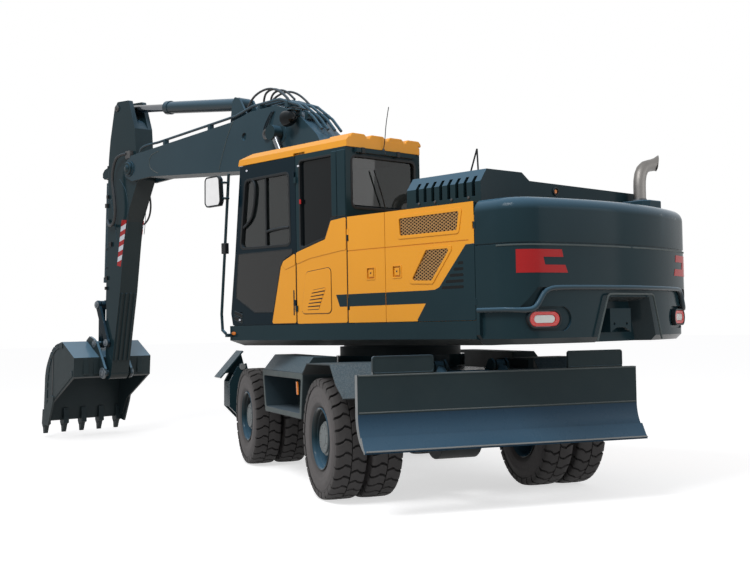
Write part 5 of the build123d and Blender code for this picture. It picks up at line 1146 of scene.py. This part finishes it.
def makeCabTrim():
    trim = cabTrim
    bandPiece("gasketUpper", trim["upperWindow"], "cab_door", "plasticDark", 0.014, -0.03, 0.004, 0.06, 0.003, 0.01)
    skinPiece("blackPane", trim["blackPane"], "cab_door", "darkGlass", -0.001, 0.003, 0.02, 0.001)
    bandPiece("gasketLower", trim["blackPane"], "cab_door", "plasticDark", 0.004, 0, 0.005, 0.024, 0.002, 0.006)
    for number, (front, back) in enumerate(trim["pillarStrips"]):
        line = [(front, 2.492 if number else 2.5), (front, 3.098), (back, 3.098), (back, 2.492)]
        skinPiece("pillarStrip%d" % number, line, "cab_shell", "slatePaint", -0.002, 0.01, 0.012, 0.008)
    bandPiece("gasketQuarter", trim["quarter"], "cab_shell", "plasticDark", 0.012, -0.03, 0.003, 0.035, 0.003, 0.008)
    left, right, low, high = trim["rearWindow"]
    outline = box(left, low, right, high)
    work = bmesh.new()
    frameBand(work, roundOutline(insetOutline(outline, -0.012), 0.062),
              roundOutline(insetOutline(outline, 0.014), 0.036),
              trim["rearFace"] - 0.004, trim["rearFace"] + 0.02, "y")
    addPiece("gasketRear", work, 40, "cab_shell", "plasticDark", rounding=0.003)
    face = sidePanel["face"]
    # curved grab rail, divider and short rail inside the window
    inside = face + 0.006
    rail = [(inside, 0.8, 2.965), (inside, 0.752, 2.93), (inside, 0.755, 2.8), (inside, 0.785, 2.66),
            (inside, 0.84, 2.555), (inside, 0.95, 2.5)]
    tubeCurve("grabRail", rail, 0.013, "cab_door", "plasticDark")
    tubeCurve("shortRail", [(inside, 0.585, 2.43), (inside, 0.55, 2.44), (inside, 0.3, 2.455), (inside, 0.23, 2.45)],
              0.012, "cab_door", "plasticDark")
    skinPiece("windowDivider", box(0.575, 2.27, 0.597, 2.99), "cab_door", "plasticDark",
              -0.016, -0.002, 0, 0.002)
    # pale oval caps at the door's top and foot, red latch on the pillar
    for number, (y, z) in enumerate(((0.07, 3.02), (0.07, 2.2), (1.03, 1.575), (0.88, 3.065))):
        host = "cab_shell" if y < 0.12 else "cab_door"
        skinPiece("ovalCap%d" % number, oval(y, z, 0.016, 0.01, 16), host, "whitePaint", -0.001, 0.004, 0, 0.002)
    skinPiece("pillarLatch", box(0.035, 2.655, 0.06, 2.7), "cab_shell", "redPaint",
              -0.001, 0.006, 0.005, 0.002)
    # corner vent of the door: two slanted slots, black sheets of painted shade, with pale rims
    for number, low in enumerate((1.552, 1.606)):
        line = [(1.118, low + 0.062), (1.118, low + 0.026), (0.985, low - 0.012), (0.985, low + 0.024)]
        skinPiece("doorVent%d" % number, line, "cab_door", "blackGloss", 0, 0.0015, 0.008, 0.0004)
        bandPiece("doorVentRim%d" % number, line, "cab_door", "slateRough", 0.001, 0, 0.004, 0.012, 0.001, 0.004)
    # wiper on the rear window, marker lamp on the skirt, whip antenna on the roof
    tubeCurve("rearWiper", [(-0.76, -0.613, 2.585), (-0.8, -0.622, 2.7), (-0.9, -0.618, 2.93)], 0.007, "cab_shell",
              "plasticDark")
    skinPiece("markerLamp", oval(1.133, 1.441, 0.033, 0.017, 16), "upper_deck", "amberGlowLens", -0.001, 0.012, 0, 0.004)
    tubeCurve("whipAntenna", [(-0.776, -0.62, 3.13), (-0.776, -0.64, 3.2), (-0.776, -0.66, 3.38),
                              (-0.776, -0.7, 3.52)],
              0.004, "cab_shell", "plasticDark", sides=3)
    turnedPiece("antennaBase", [(0, 0), (0, 0.022), (0.03, 0.018), (0.055, 0.008), (0.06, 0)], 20,
                (-0.776, -0.62, 3.085), "z", 30, "cab_shell", "plasticDark")
    # small lamps and brackets on the bar over the rear window
    work = bmesh.new()
    for x in (-1.05, -0.6):
        prism(work, box(x - 0.02, 3.07, x + 0.02, 3.124), -0.645, -0.6, "y")
    addPiece("barBrackets", work, 30, "cab_shell", "plasticDark", rounding=0.003)


mirror = {
    "face": -1.372,
    "outline": [(1.175, 2.735), (1.15, 2.78), (1.165, 3.01), (1.195, 3.04), (1.39, 3.04), (1.415, 3.01), (1.42, 2.77),
                (1.385, 2.735)],
}


def makeMirror():
    # pale glass in a dark rim on the mirror's outer face, and the clamp on its pole
    outline, face = mirror["outline"], mirror["face"]
    work = bmesh.new()
    prism(work, roundOutline(insetOutline(outline, 0.012), 0.03), face - 0.004, face + 0.002)
    addPiece("mirrorGlass", work, 40, "handrails", "mirrorFace", rounding=0.001)
    work = bmesh.new()
    frameBand(work, roundOutline(insetOutline(outline, -0.003), 0.035),
              roundOutline(insetOutline(outline, 0.012), 0.03),
              face - 0.008, face + 0.03)
    addPiece("mirrorRim", work, 40, "handrails", "plasticDark", rounding=0.004)
    work = bmesh.new()
    prism(work, box(1.165, 2.25, 1.235, 2.36), -1.312, -1.264)
    addPiece("mirrorClamp", work, 40, "handrails", "plasticDark", rounding=0.006)


makeCabTrim()
makeMirror()
print("cab dressed")


# Exhaust and hood: bent outlet with a slash-cut end on its box, aerials, bolts and latch

exhaustPipe = {
    "foot": (1, -2.22),
    "path": [                # across, height, radius
        (1, 2.4925, 0.058), (1, 2.62, 0.058), (1, 2.74, 0.058), (1.004, 2.8, 0.058), (1.02, 2.86, 0.058),
        (1.052, 2.908, 0.058), (1.1, 2.94, 0.057), (1.16, 2.956, 0.056), (1.22, 2.967, 0.057), (1.265, 2.978, 0.06),
        (1.305, 2.992, 0.066),
    ],
    "cut": 0.085,            # how far the end's far side runs on
    "wall": 0.004,
    "collar": [(0, 0.0585), (0, 0.072), (0.012, 0.072), (0.016, 0.066), (0.03, 0.062), (0.03, 0.0585)],
}


def sweepPath(work, rows, cut, sides=28):
    # rings along a bent line in the x-z plane; the last ring is cut slanting
    rings = []
    for at, (x, z, radius) in enumerate(rows):
        first, last = rows[max(at - 1, 0)], rows[min(at + 1, len(rows) - 1)]
        way = Vector((last[0] - first[0], 0, last[1] - first[1])).normalized()
        up = Vector((-way.z, 0, way.x))
        lean = cut if at == len(rows) - 1 else cut * 0.35 if at == len(rows) - 2 else 0
        ring = []
        for step in range(sides):
            turn = 2 * math.pi * step / sides
            further = way * lean * (0.6 * math.cos(turn) + 1.0 * math.sin(turn))
            spot = Vector((x, exhaustPipe["foot"][1], z)) + up * radius * math.cos(turn) + further
            ring.append(work.verts.new(spot + Vector((0, radius * math.sin(turn), 0))))
        rings.append(ring)
    for ring, other in zip(rings, rings[1:]):
        bridge(work, ring, other)
    return rings


def makeExhaust():
    rows, wall = exhaustPipe["path"], exhaustPipe["wall"]
    work = bmesh.new()
    outer = sweepPath(work, rows, exhaustPipe["cut"])
    work.faces.new(outer[0])
    inner = [(x, z, radius - wall) for x, z, radius in rows[5:]]
    inside = sweepPath(work, inner, exhaustPipe["cut"])
    bridge(work, outer[-1], inside[-1])
    work.faces.new(inside[0])
    addPiece("exhaustPipe", work, 40, "exhaust", "exhaustSteel", replaces=("exhaust",))
    soot = bmesh.new()
    rings = sweepPath(soot, [(x, z, radius - wall - 0.001) for x, z, radius in rows[6:]], exhaustPipe["cut"])
    soot.faces.new(rings[0])
    addPiece("exhaustSoot", soot, 40, "exhaust", "blackGloss")
    turnedPiece("exhaustCollar", exhaustPipe["collar"], 32, (*exhaustPipe["foot"], 2.6), "z", 30, "exhaust",
                "castIron")


hoodTrim = {
    "aerialAt": -0.85, "aerialFeet": (-1.756, -1.853), "aerialTop": (-1.843, 2.977),
    "latchAt": (-0.147, -2.12, 2.632),
    "latchRing": [(0, 0.026), (0, 0.04), (-0.012, 0.038), (-0.012, 0.028)],
    "latchHub": [(0, 0), (0, 0.018), (-0.006, 0.016), (-0.008, 0)],
    "boltsAlong": (-1.42, -1.61, -1.8, -1.99),
}


def makeHoodFittings():
    trim = hoodTrim
    x, (topY, topZ) = trim["aerialAt"], trim["aerialTop"]
    for number, foot in enumerate(trim["aerialFeet"]):
        tubeCurve("aerial%d" % number, [(x, foot, 2.762), (x, (foot + topY) / 2, 2.87), (x, topY, topZ)], 0.0075,
                  "engine_hood", "plasticDark", sides=3)
    turnedPiece("hoodLatchRing", trim["latchRing"], 28, trim["latchAt"], "y", 30, "engine_hood", "plasticDark")
    turnedPiece("hoodLatchHub", trim["latchHub"], 20, trim["latchAt"], "y", 30, "engine_hood", "amberGlowLens")
    bolts = bmesh.new()
    hexBolts(bolts, [((-1.133, y, 2.528), -1) for y in trim["boltsAlong"]], 0.01, 0.008)
    addPiece("hoodBolts", bolts, 30, "engine_hood", "castIron")
    # panel joint down the hood's rear and across its top
    tubeCurve("hoodJoint", [(-0.125, -1.3, 2.7015), (-0.125, -1.7, 2.7015), (-0.125, -2.08, 2.7015)], 0.004,
              "engine_hood", "blackGloss", sides=2)


def makePipeBox():
    # closed box that the exhaust stands on
    work = bmesh.new()
    prism(work, [(0.83, -2.13), (0.83, -2.36), (0.88, -2.41), (1.06, -2.41), (1.12, -2.35), (1.12, -2.13)], 2.488,
          2.6, "z")
    addPiece("exhaustBox", work, 30, "counterweight", "slatePaintedLit", rounding=0.012)


def makeSideCap():
    # box over the right housing, beside the hood
    work = bmesh.new()
    prism(work, [(1.156, 2.4935), (1.156, 2.7), (1.195, 2.705), (1.243, 2.655), (1.243, 2.4935)], -2.02, -1.3, "y")
    addPiece("sideCap", work, 30, "upper_deck", "slatePaintedLit", rounding=0.014)


makeExhaust()
makeHoodFittings()
makeSideCap()
makePipeBox()
print("exhaust and hood dressed")


# Boom and arm: weld seams, work lamp, hoses, warning stripe, brackets, pin caps

boomTrim = {
    "middle": 0.1, "half": 0.19, "armHalf": 0.136,
    "boomSeams": [
        [(2.672, 3.949), (2.78, 3.808), (2.9, 3.56), (2.965, 3.41)],
        [(4.3, 3.8), (4.42, 3.79), (4.505, 3.75), (4.53, 3.68), (4.5, 3.6), (4.4, 3.545), (4.31, 3.515)],
    ],
    "armSeams": [
        [(5.36, 3.55), (5.21, 3.42), (5.155, 3.214), (5.15, 3.011), (5.2, 2.8)],
        [(5.6, 3.3), (5.47, 2.9), (5.42, 2.55)],
    ],
    "lampAt": (-0.205, 1.43, 3.8),
    "lampShell": [(-0.05, 0), (-0.046, 0.03), (-0.02, 0.068), (0.03, 0.086), (0.1, 0.09), (0.1, 0.082),
                  (0.06, 0.078), (0.06, 0)],
    "lampLens": [(0.062, 0), (0.062, 0.077), (0.085, 0.076), (0.094, 0.05), (0.098, 0)],
    "boss": [(0.012, 0), (0.012, 0.062), (-0.03, 0.062), (-0.036, 0.056), (-0.036, 0.036), (-0.026, 0.032),
             (-0.026, 0)],
    "stripe": [(5.322, 2.994), (5.195, 2.984), (5.361, 2.361), (5.456, 2.381)],
    "bands": 9,
    "pins": [                # node, (along, up), half width, cap radius, finish
        ("arm", (5.7, 1.326), 0.176, 0.05, "castBright"), ("rocker_links", (5.93, 1.855), 0.176, 0.052, "castBright"),
        ("bucket", (5.735, 0.912), 0.212, 0.075, "castBright"), ("bucket", (5.95, 1.314), 0.212, 0.05, "castBright"),
        ("boom", (5.02, 3.656), 0.212, 0.085, "slatePaint"), ("arm", (5.398, 4.533), 0.137, 0.045, "castIron"),
    ],
    "outerArc": [(2.44, 4.082), (2.37, 4.17), (2.23, 4.232), (2.04, 4.252), (1.87, 4.2), (1.72, 4.1), (1.65, 4.035)],
    "innerArc": [(2.25, 4.1), (2.25, 4.15), (2.219, 4.224), (2.145, 4.255), (2.03, 4.256), (1.91, 4.2), (1.8, 4.105)],
    "boomHoses": [("a", -0.04, "outerArc"), ("b", 0.05, "innerArc"), ("c", 0.15, "innerArc"),
                  ("d", 0.24, "outerArc")],
    "boomHoseRadius": 0.013,
    "armHoses": [            # side, radius, line
        ("left", 0.02, [(-0.088, 5.1, 3.865), (-0.13, 5.22, 3.865), (-0.13, 5.345, 3.77), (-0.13, 5.41, 3.56),
                         (-0.125, 5.36, 3.32), (-0.12, 5.34, 3.1), (-0.115, 5.388, 2.963), (-0.1, 5.505, 2.915),
                         (-0.075, 5.622, 2.963), (-0.05, 5.66, 3.02)]),
        ("right", 0.013, [(0.252, 5.24, 3.5), (0.26, 5.13, 3.42), (0.27, 5.075, 3.26), (0.27, 5.08, 3.1),
                          (0.26, 5.14, 2.98), (0.252, 5.22, 2.94)]),
    ],
}


def makeBoomDetail():
    trim = boomTrim
    for host, half, radius, finish in (("boom", trim["half"], 0.005, "frameDust"),
                                       ("arm", trim["armHalf"], 0.004, "slatePaintedLit")):
        for number, seam in enumerate(trim[host + "Seams"]):
            for side in (-1, 1):
                x = trim["middle"] + side * (half + 0.0005)
                tubeCurve("%sSeam%d_%d" % (host, number, side + 1), [(x, y, z) for y, z in seam], radius, host,
                          finish, sides=2)
    # round work lamp on its bracket beside the lift pin, guarded by a bent bar
    x, y, z = trim["lampAt"]
    turnedPiece("workLampShell", trim["lampShell"], 36, (x, y, z), "y", 34, "boom", "blackGloss")
    turnedPiece("workLampLens", trim["lampLens"], 32, (x, y, z), "y", 30, "boom", "lampClear")
    bracket = bmesh.new()
    prism(bracket, box(y - 0.03, z + 0.085, y + 0.05, z + 0.1), x - 0.03, -0.085)
    prism(bracket, box(y - 0.04, z + 0.03, y + 0.06, z + 0.13), -0.1, -0.088)
    addPiece("workLampBracket", bracket, 30, "boom", "slatePaintedLit", rounding=0.004)
    tubeCurve("workLampGuard", [(-0.088, y - 0.16, z + 0.07), (-0.2, y - 0.1, z + 0.1), (-0.215, y + 0.03, z + 0.115),
                                (-0.16, y + 0.12, z + 0.1), (-0.088, y + 0.15, z + 0.07)], 0.008, "boom",
              "plasticDark")
    turnedPiece("boomBoss", trim["boss"], 32, (-0.1, 1.99, 3.703), "x", 30, "boom", "castIron")
    for number, shift in enumerate((0, 0.035)):
        tubeCurve("boomStay%d" % number, [(-0.1, 1.875 + shift, 3.955), (-0.12, 1.95 + shift, 3.87),
                                          (-0.125, 2.0 + shift, 3.76)],
                  0.009, "boom", "slatePaintedShade", sides=3)
    # pipe ends at the boom's tip, and rigid lines down the arm's back
    for number, (x, side) in enumerate(((-0.04, -1), (0.24, 1))):
        points = [(x, 4.37, 3.932), (x + side * 0.008, 4.48, 3.928), (x + side * 0.034, 4.6, 3.92),
                  (x + side * 0.038, 4.7, 3.905), (x + side * 0.038, 4.76, 3.875), (x + side * 0.038, 4.775, 3.83)]
        tubeCurve("tipPipe%d" % number, points, 0.016, "boom", "slatePaintedLit")
    clamps = bmesh.new()
    for number, x in enumerate((-0.018, 0.218)):
        points = [(5.58, 4.08), (5.655, 3.95), (5.672, 3.5), (5.705, 2.95), (5.735, 2.5), (5.745, 2.3)]
        tubeCurve("armPipe%d" % number, [(x, y, z) for y, z in points], 0.0115, "arm", "slatePaintedLit")
        for y, z in ((5.655, 3.75), (5.672, 3.35), (5.695, 2.98), (5.715, 2.62), (5.725, 2.36)):
            prism(clamps, box(y - 0.03, z - 0.022, y + 0.032, z + 0.022),
                  x - 0.02, x + 0.02)
    addPiece("armClamps", clamps, 30, "arm", "slatePaintedShade", rounding=0.003)
    # small lamp and black brackets on the arm's outer edge
    blocks = bmesh.new()
    for y, z, size in ((5.6, 2.68, 0.03), (5.72, 2.22, 0.026), (5.735, 2.08, 0.022), (5.69, 3.22, 0.03),
                       (5.66, 3.34, 0.024)):
        prism(blocks, box(y - size, z - size, y + size, z + size), -0.062, -0.034)
    addPiece("armBrackets", blocks, 30, "arm", "plasticDark", rounding=0.004)
    valve = bmesh.new()
    for side in (-1, 1):
        x = trim["middle"] + side * (trim["armHalf"] + 0.028)
        prism(valve, box(5, 3.8, 5.12, 3.9), x - 0.03, x + 0.03)
        hexBolts(valve, [((x, 5.03, 3.8), -1), ((x, 5.09, 3.8), -1)], 0.014, 0.03, "z")
    addPiece("armValve", valve, 30, "arm", "castIron", rounding=0.004)


def makeWarningStripe():
    # red and white slanted bands on both faces of the arm
    topRight, topLeft, lowLeft, lowRight = (Vector(point) for point in boomTrim["stripe"])
    slant = 0.075
    count = boomTrim["bands"]
    for finish, first in (("redPaint", 0), ("whitePaint", 1)):
        work = bmesh.new()
        for band in range(first, count, 2):
            low, high = band / count, (band + 1) / count
            left = [max(0, low - slant / 2), 1 if band == count - 1 else high - slant / 2]
            right = [min(1, low + slant / 2) if band else 0, min(1, high + slant / 2)]
            line = [topLeft.lerp(lowLeft, left[0]), topLeft.lerp(lowLeft, left[1]),
                    topRight.lerp(lowRight, right[1]), topRight.lerp(lowRight, right[0])]
            for side in (-1, 1):
                face = boomTrim["middle"] + side * boomTrim["armHalf"]
                prism(work, [tuple(point) for point in line], face - 0.0012, face + 0.0012)
        addPiece("stripe_" + finish, work, 40, "arm", finish)


def makePinCaps():
    # turned caps with a keeper bolt on the ends of the linkage's pins
    for number, (host, (y, z), reach, radius, finish) in enumerate(boomTrim["pins"]):
        work = bmesh.new()
        for side in (-1, 1):
            x = boomTrim["middle"] + side * reach
            profile = [(-side * 0.004, 0), (-side * 0.004, radius), (side * 0.014, radius),
                       (side * 0.02, radius * 0.9),
                       (side * 0.02, radius * 0.55), (side * 0.03, radius * 0.5), (side * 0.036, radius * 0.36),
                       (side * 0.036, 0)]
            lathe(work, profile, 32, (x, y, z))
        addPiece("pinCap%d" % number, work, 30, host, finish)


def splineLength(piece):
    # the length of a curve's own line
    bare = piece.data.copy()
    bare.bevel_depth = 0
    holder = bpy.data.objects.new("bareLine", bare)
    line = bpy.data.meshes.new_from_object(holder)
    total = sum((line.vertices[a].co - line.vertices[b].co).length for a, b in (edge.vertices for edge in line.edges))
    bpy.data.meshes.remove(line)
    bpy.data.objects.remove(holder)
    bpy.data.curves.remove(bare)
    return total


def makeHose(name, host, radius, line):
    hose = tubeCurve(name, line, radius, host, "hoseRubber")
    length = round(splineLength(hose), 3)
    print("hose", name, length)


def makeHoses():
    trim = boomTrim
    for word, x, arc in trim["boomHoses"]:
        makeHose("boomHose_" + word, "boom", trim["boomHoseRadius"], [(x, y, z) for y, z in trim[arc]])
    for word, radius, line in trim["armHoses"]:
        makeHose("armHose_" + word, "arm", radius, line)


makeBoomDetail()
makeWarningStripe()
makePinCaps()
makeHoses()
print("boom and arm dressed")


# Bucket, blade and chassis: wear strips, edges, reflectors, pins

groundTrim = {
    "bucketMiddle": 0.1, "bucketHalf": 0.6,
    "bucketEdge": [(6.12, 1.33), (6.25, 1.33), (6.36, 1.292), (6.45, 1.225), (6.52, 1.135), (6.575, 1.03),
                   (6.615, 0.92), (6.64, 0.8), (6.652, 0.7), (6.665, 0.55), (6.675, 0.42)],
    "bucketWeld": [(6.4, 1.2), (6.412, 1.205), (6.452, 0.62), (6.44, 0.6)],
    "bucketLip": [(5.86, 0.885), (6.16, 0.7), (6.43, 0.52), (6.47, 0.56), (6.2, 0.76), (5.875, 0.96)],
    "strap": [(5.812, 1.118), (5.83, 1.09), (5.83, 0.9), (5.812, 0.9)],
    "strapsAt": (-0.32, -0.16, 0.36, 0.52),
    "bladeHalf": 1.25,
    "bladeLines": [          # name, (along, up), radius, finish
        ("bladeRollHighlight", (-2.3765, 0.812), 0.006, "frameDust"),
        ("bladeTopHighlight", (-2.3765, 1.102), 0.007, "frameDust"),
        ("bladeFootLine", (-2.5388, 0.5265), 0.007, "edgePale"),
    ],
    "stepBox": [(0.761, 1.065), (0.658, 0.636), (-0.728, 0.648), (-0.806, 1.075)],
    "stepHole": [(0.69, 1.004), (0.612, 0.69), (-0.668, 0.7), (-0.735, 1.012)],
    "pinHead": [(0, 0), (0, 0.038), (-0.01, 0.038), (-0.014, 0.032), (-0.014, 0)],
}


def makeBucketDetail():
    trim = groundTrim
    wear, welds, plates = bmesh.new(), bmesh.new(), bmesh.new()
    for side in (-1, 1):
        face = trim["bucketMiddle"] + side * trim["bucketHalf"]
        # short wear bars along the side plate's rounded back
        for first, last in zip(trim["bucketEdge"], trim["bucketEdge"][1:]):
            start, end = Vector(first), Vector(last)
            way = (end - start).normalized()
            inward = Vector((way.y, -way.x))
            start, end = start + way * 0.012, end - way * 0.012
            line = [tuple(start), tuple(end), tuple(end + inward * 0.07), tuple(start + inward * 0.07)]
            prism(wear, line, face, face + side * 0.01)
        # upright plate edge
        prism(welds, trim["bucketWeld"], face, face + side * 0.006)
        prism(plates, trim["bucketLip"], face, face + side * 0.008)
    addPiece("bucketWear", wear, 30, "bucket", "bucketSteel", rounding=0.003)
    addPiece("bucketSeams", welds, 30, "bucket", "castIron", rounding=0.002)
    addPiece("bucketLipPlates", plates, 30, "bucket", "bucketSteel", rounding=0.003)
    # straps over the bucket's top beside the ears
    straps = bmesh.new()
    for x in trim["strapsAt"]:
        prism(straps, trim["strap"], x - 0.04, x + 0.04)
    addPiece("bucketStraps", straps, 30, "bucket", "bucketSteel", rounding=0.004)


def makeBladeDetail():
    half = groundTrim["bladeHalf"]
    # pale lines along the roll and the top, which are painted highlights, a pale line along the foot, and eyes in the
    # end plates as black discs of painted shade
    for name, (y, z), radius, finish in groundTrim["bladeLines"]:
        points = [(-half + 0.01, y, z), (-half / 2, y, z), (half / 2, y, z), (half - 0.01, y, z)]
        tubeCurve(name, points, radius, "dozer_blade", finish, chassisPlace, sides=2)
    eyes = bmesh.new()
    for side in (-1, 1):
        lathe(eyes, [(-side * 0.001, 0), (-side * 0.001, 0.02), (0, 0.02), (0, 0)], 20,
              (side * (half - 0.0005), -2.347, 1.055))
    addPiece("bladeEyes", eyes, 30, "dozer_blade", "blackGloss", chassisPlace)
    # rounded ends of the guard plates
    guard = bmesh.new()
    for side in (-1, 1):
        outline = box(side * 0.604, 1.112, side * 1.121, 1.2535)
        frameBand(guard, roundOutline(outline, 0.022), roundOutline(insetOutline(outline, 0.012), 0.014), -2.3765,
                  -2.3435, "y")
    addPiece("bladeGuardRims", guard, 30, "dozer_blade", "slateDull", chassisPlace, 0.003)


def makeChassisDetail():
    trim = groundTrim
    rims, lamps = bmesh.new(), bmesh.new()
    for side, sideName in ((-1, "left"), (1, "right")):
        outer = roundOutline(insetOutline(trim["stepBox"], 0.006), 0.03)
        inner = roundOutline(insetOutline(trim["stepHole"], -0.004), 0.03)
        frameBand(rims, outer, inner, side * 1.244, side * 1.2525)
        square = [(-0.592, 0.865), (-0.558, 0.865), (-0.54, 0.985), (-0.575, 0.985)]
        prism(lamps, square, side * 1.232, side * 1.246)
        # pale head of the foot's pin, which swings out with the stabiliser
        head = bmesh.new()
        lathe(head, trim["pinHead"], 28, (side * 1.069, 2.5305, 1.034), "y")
        addPiece("footPin_" + sideName, head, 30, "stabiliser_" + sideName, "edgePale", chassisPlace)
    addPiece("stepRims", rims, 30, "side_steps", "frameDust", chassisPlace, 0.004)
    addPiece("sideReflectors", lamps, 30, "side_steps", "amberGlowLens", chassisPlace, 0.003)


makeBucketDetail()
makeBladeDetail()
makeChassisDetail()
print("bucket, blade and chassis dressed")


# Cab room: cushions blown up by cloth, their seams, headrest posts and monitor

seat = {
    "middle": -0.767,
    "voxel": 0.01,
    "pressure": 4,
    "cap": 0.014,            # how far the cloth may swell
    "pad": {"half": 0.235, "outline": box(-0.115, 1.853, 0.365, 1.945)},
    "back": {"half": 0.226, "outline": [(-0.118, 1.975), (-0.012, 1.975), (-0.102, 2.545), (-0.197, 2.545)]},
    "head": {"half": 0.138, "outline": [(-0.214, 2.612), (-0.136, 2.612), (-0.153, 2.768), (-0.206, 2.768)]},
    "channels": {"pad": [0.02, 0.25], "back": [2.14, 2.38], "head": []},
    "channelDepth": 0.01, "channelWidth": 0.012,
}


def swellPad(piece):
    # the cushion's own cloth pass, capped and kept as a plain mesh
    old = [vertex.co.copy() for vertex in piece.data.vertices]
    cloth = piece.modifiers.new("swell", "CLOTH")
    cloth.settings.use_pressure = True
    cloth.settings.uniform_pressure_force = seat["pressure"]
    cloth.settings.effector_weights.gravity = 0
    cloth.point_cache.frame_start, cloth.point_cache.frame_end = 1, 20
    scene = bpy.context.scene
    for step in range(1, 21):
        scene.frame_set(step)
    shaped = piece.evaluated_get(bpy.context.evaluated_depsgraph_get()).to_mesh()
    new = [vertex.co.copy() for vertex in shaped.vertices]
    piece.modifiers.remove(cloth)
    for vertex, start, end in zip(piece.data.vertices, old, new):
        move = end - start
        if move.length > seat["cap"]:
            move = move.normalized() * seat["cap"]
        vertex.co = start + move
    scene.frame_set(1)


def makePad(name):
    look = seat[name]
    work = bmesh.new()
    line = roundOutline(look["outline"], 0.03, 4)
    prism(work, line, seat["middle"] - look["half"], seat["middle"] + look["half"])
    piece = addPiece("seat_" + name, work, 32, "seat_cushions", "seatCloth", replaces=("seat_cushions",))
    voxels = piece.modifiers.new("voxels", "REMESH")
    voxels.mode = "VOXEL"
    voxels.voxel_size = seat["voxel"]
    solid = bpy.data.meshes.new_from_object(piece.evaluated_get(bpy.context.evaluated_depsgraph_get()))
    piece.modifiers.remove(voxels)
    piece.data = solid
    coat(piece, "seatCloth")
    relax = bmesh.new()
    relax.from_mesh(solid)
    for _ in range(6):
        bmesh.ops.smooth_vert(relax, verts=relax.verts, factor=0.5, use_axis_x=True, use_axis_y=True, use_axis_z=True)
    relax.to_mesh(solid)
    relax.free()
    swellPad(piece)
    # sewn channels across the front face
    for vertex in piece.data.vertices:
        spot = upperPlace.inverted() @ vertex.co
        along = spot.y if name == "pad" else spot.z
        for channel in seat["channels"][name]:
            pull = math.exp(-((along - channel) / seat["channelWidth"]) ** 2) * seat["channelDepth"]
            vertex.co -= vertex.normal * pull
    for polygon in piece.data.polygons:
        polygon.use_smooth = True
    smooth = piece.modifiers.new("smooth", "SUBSURF")
    smooth.levels = smooth.render_levels = 1
    return piece


def makeCabRoom():
    for name in ("pad", "back", "head"):
        makePad(name)
    posts = bmesh.new()
    for side in (-1, 1):
        lathe(posts, [(2.5, 0), (2.5, 0.008), (2.66, 0.008), (2.66, 0)], 12,
              (seat["middle"] + side * 0.06, -0.165, 0), "z")
    addPiece("headrestPosts", posts, 30, "seat_cushions", "chromeRod")
    frameBox, screen = bmesh.new(), bmesh.new()
    prism(frameBox, roundOutline([(0.83, 2.1), (0.87, 2.1), (0.91, 2.3), (0.87, 2.31)], 0.008, 3), -0.5, -0.36)
    prism(screen, [(0.826, 2.115), (0.832, 2.113), (0.872, 2.296), (0.866, 2.297)], -0.488, -0.372)
    addPiece("monitorCase", frameBox, 30, "cab_shell", "plasticDark", rounding=0.004)
    addPiece("monitorScreen", screen, 30, "cab_shell", "blackGloss")
    tubeCurve("monitorArm", [(-0.43, 0.86, 2.12), (-0.43, 0.87, 2), (-0.4, 0.9, 1.86), (-0.4, 0.95, 1.6)], 0.012,
              "cab_shell", "plasticDark")


makeCabRoom()
print("cab room furnished")
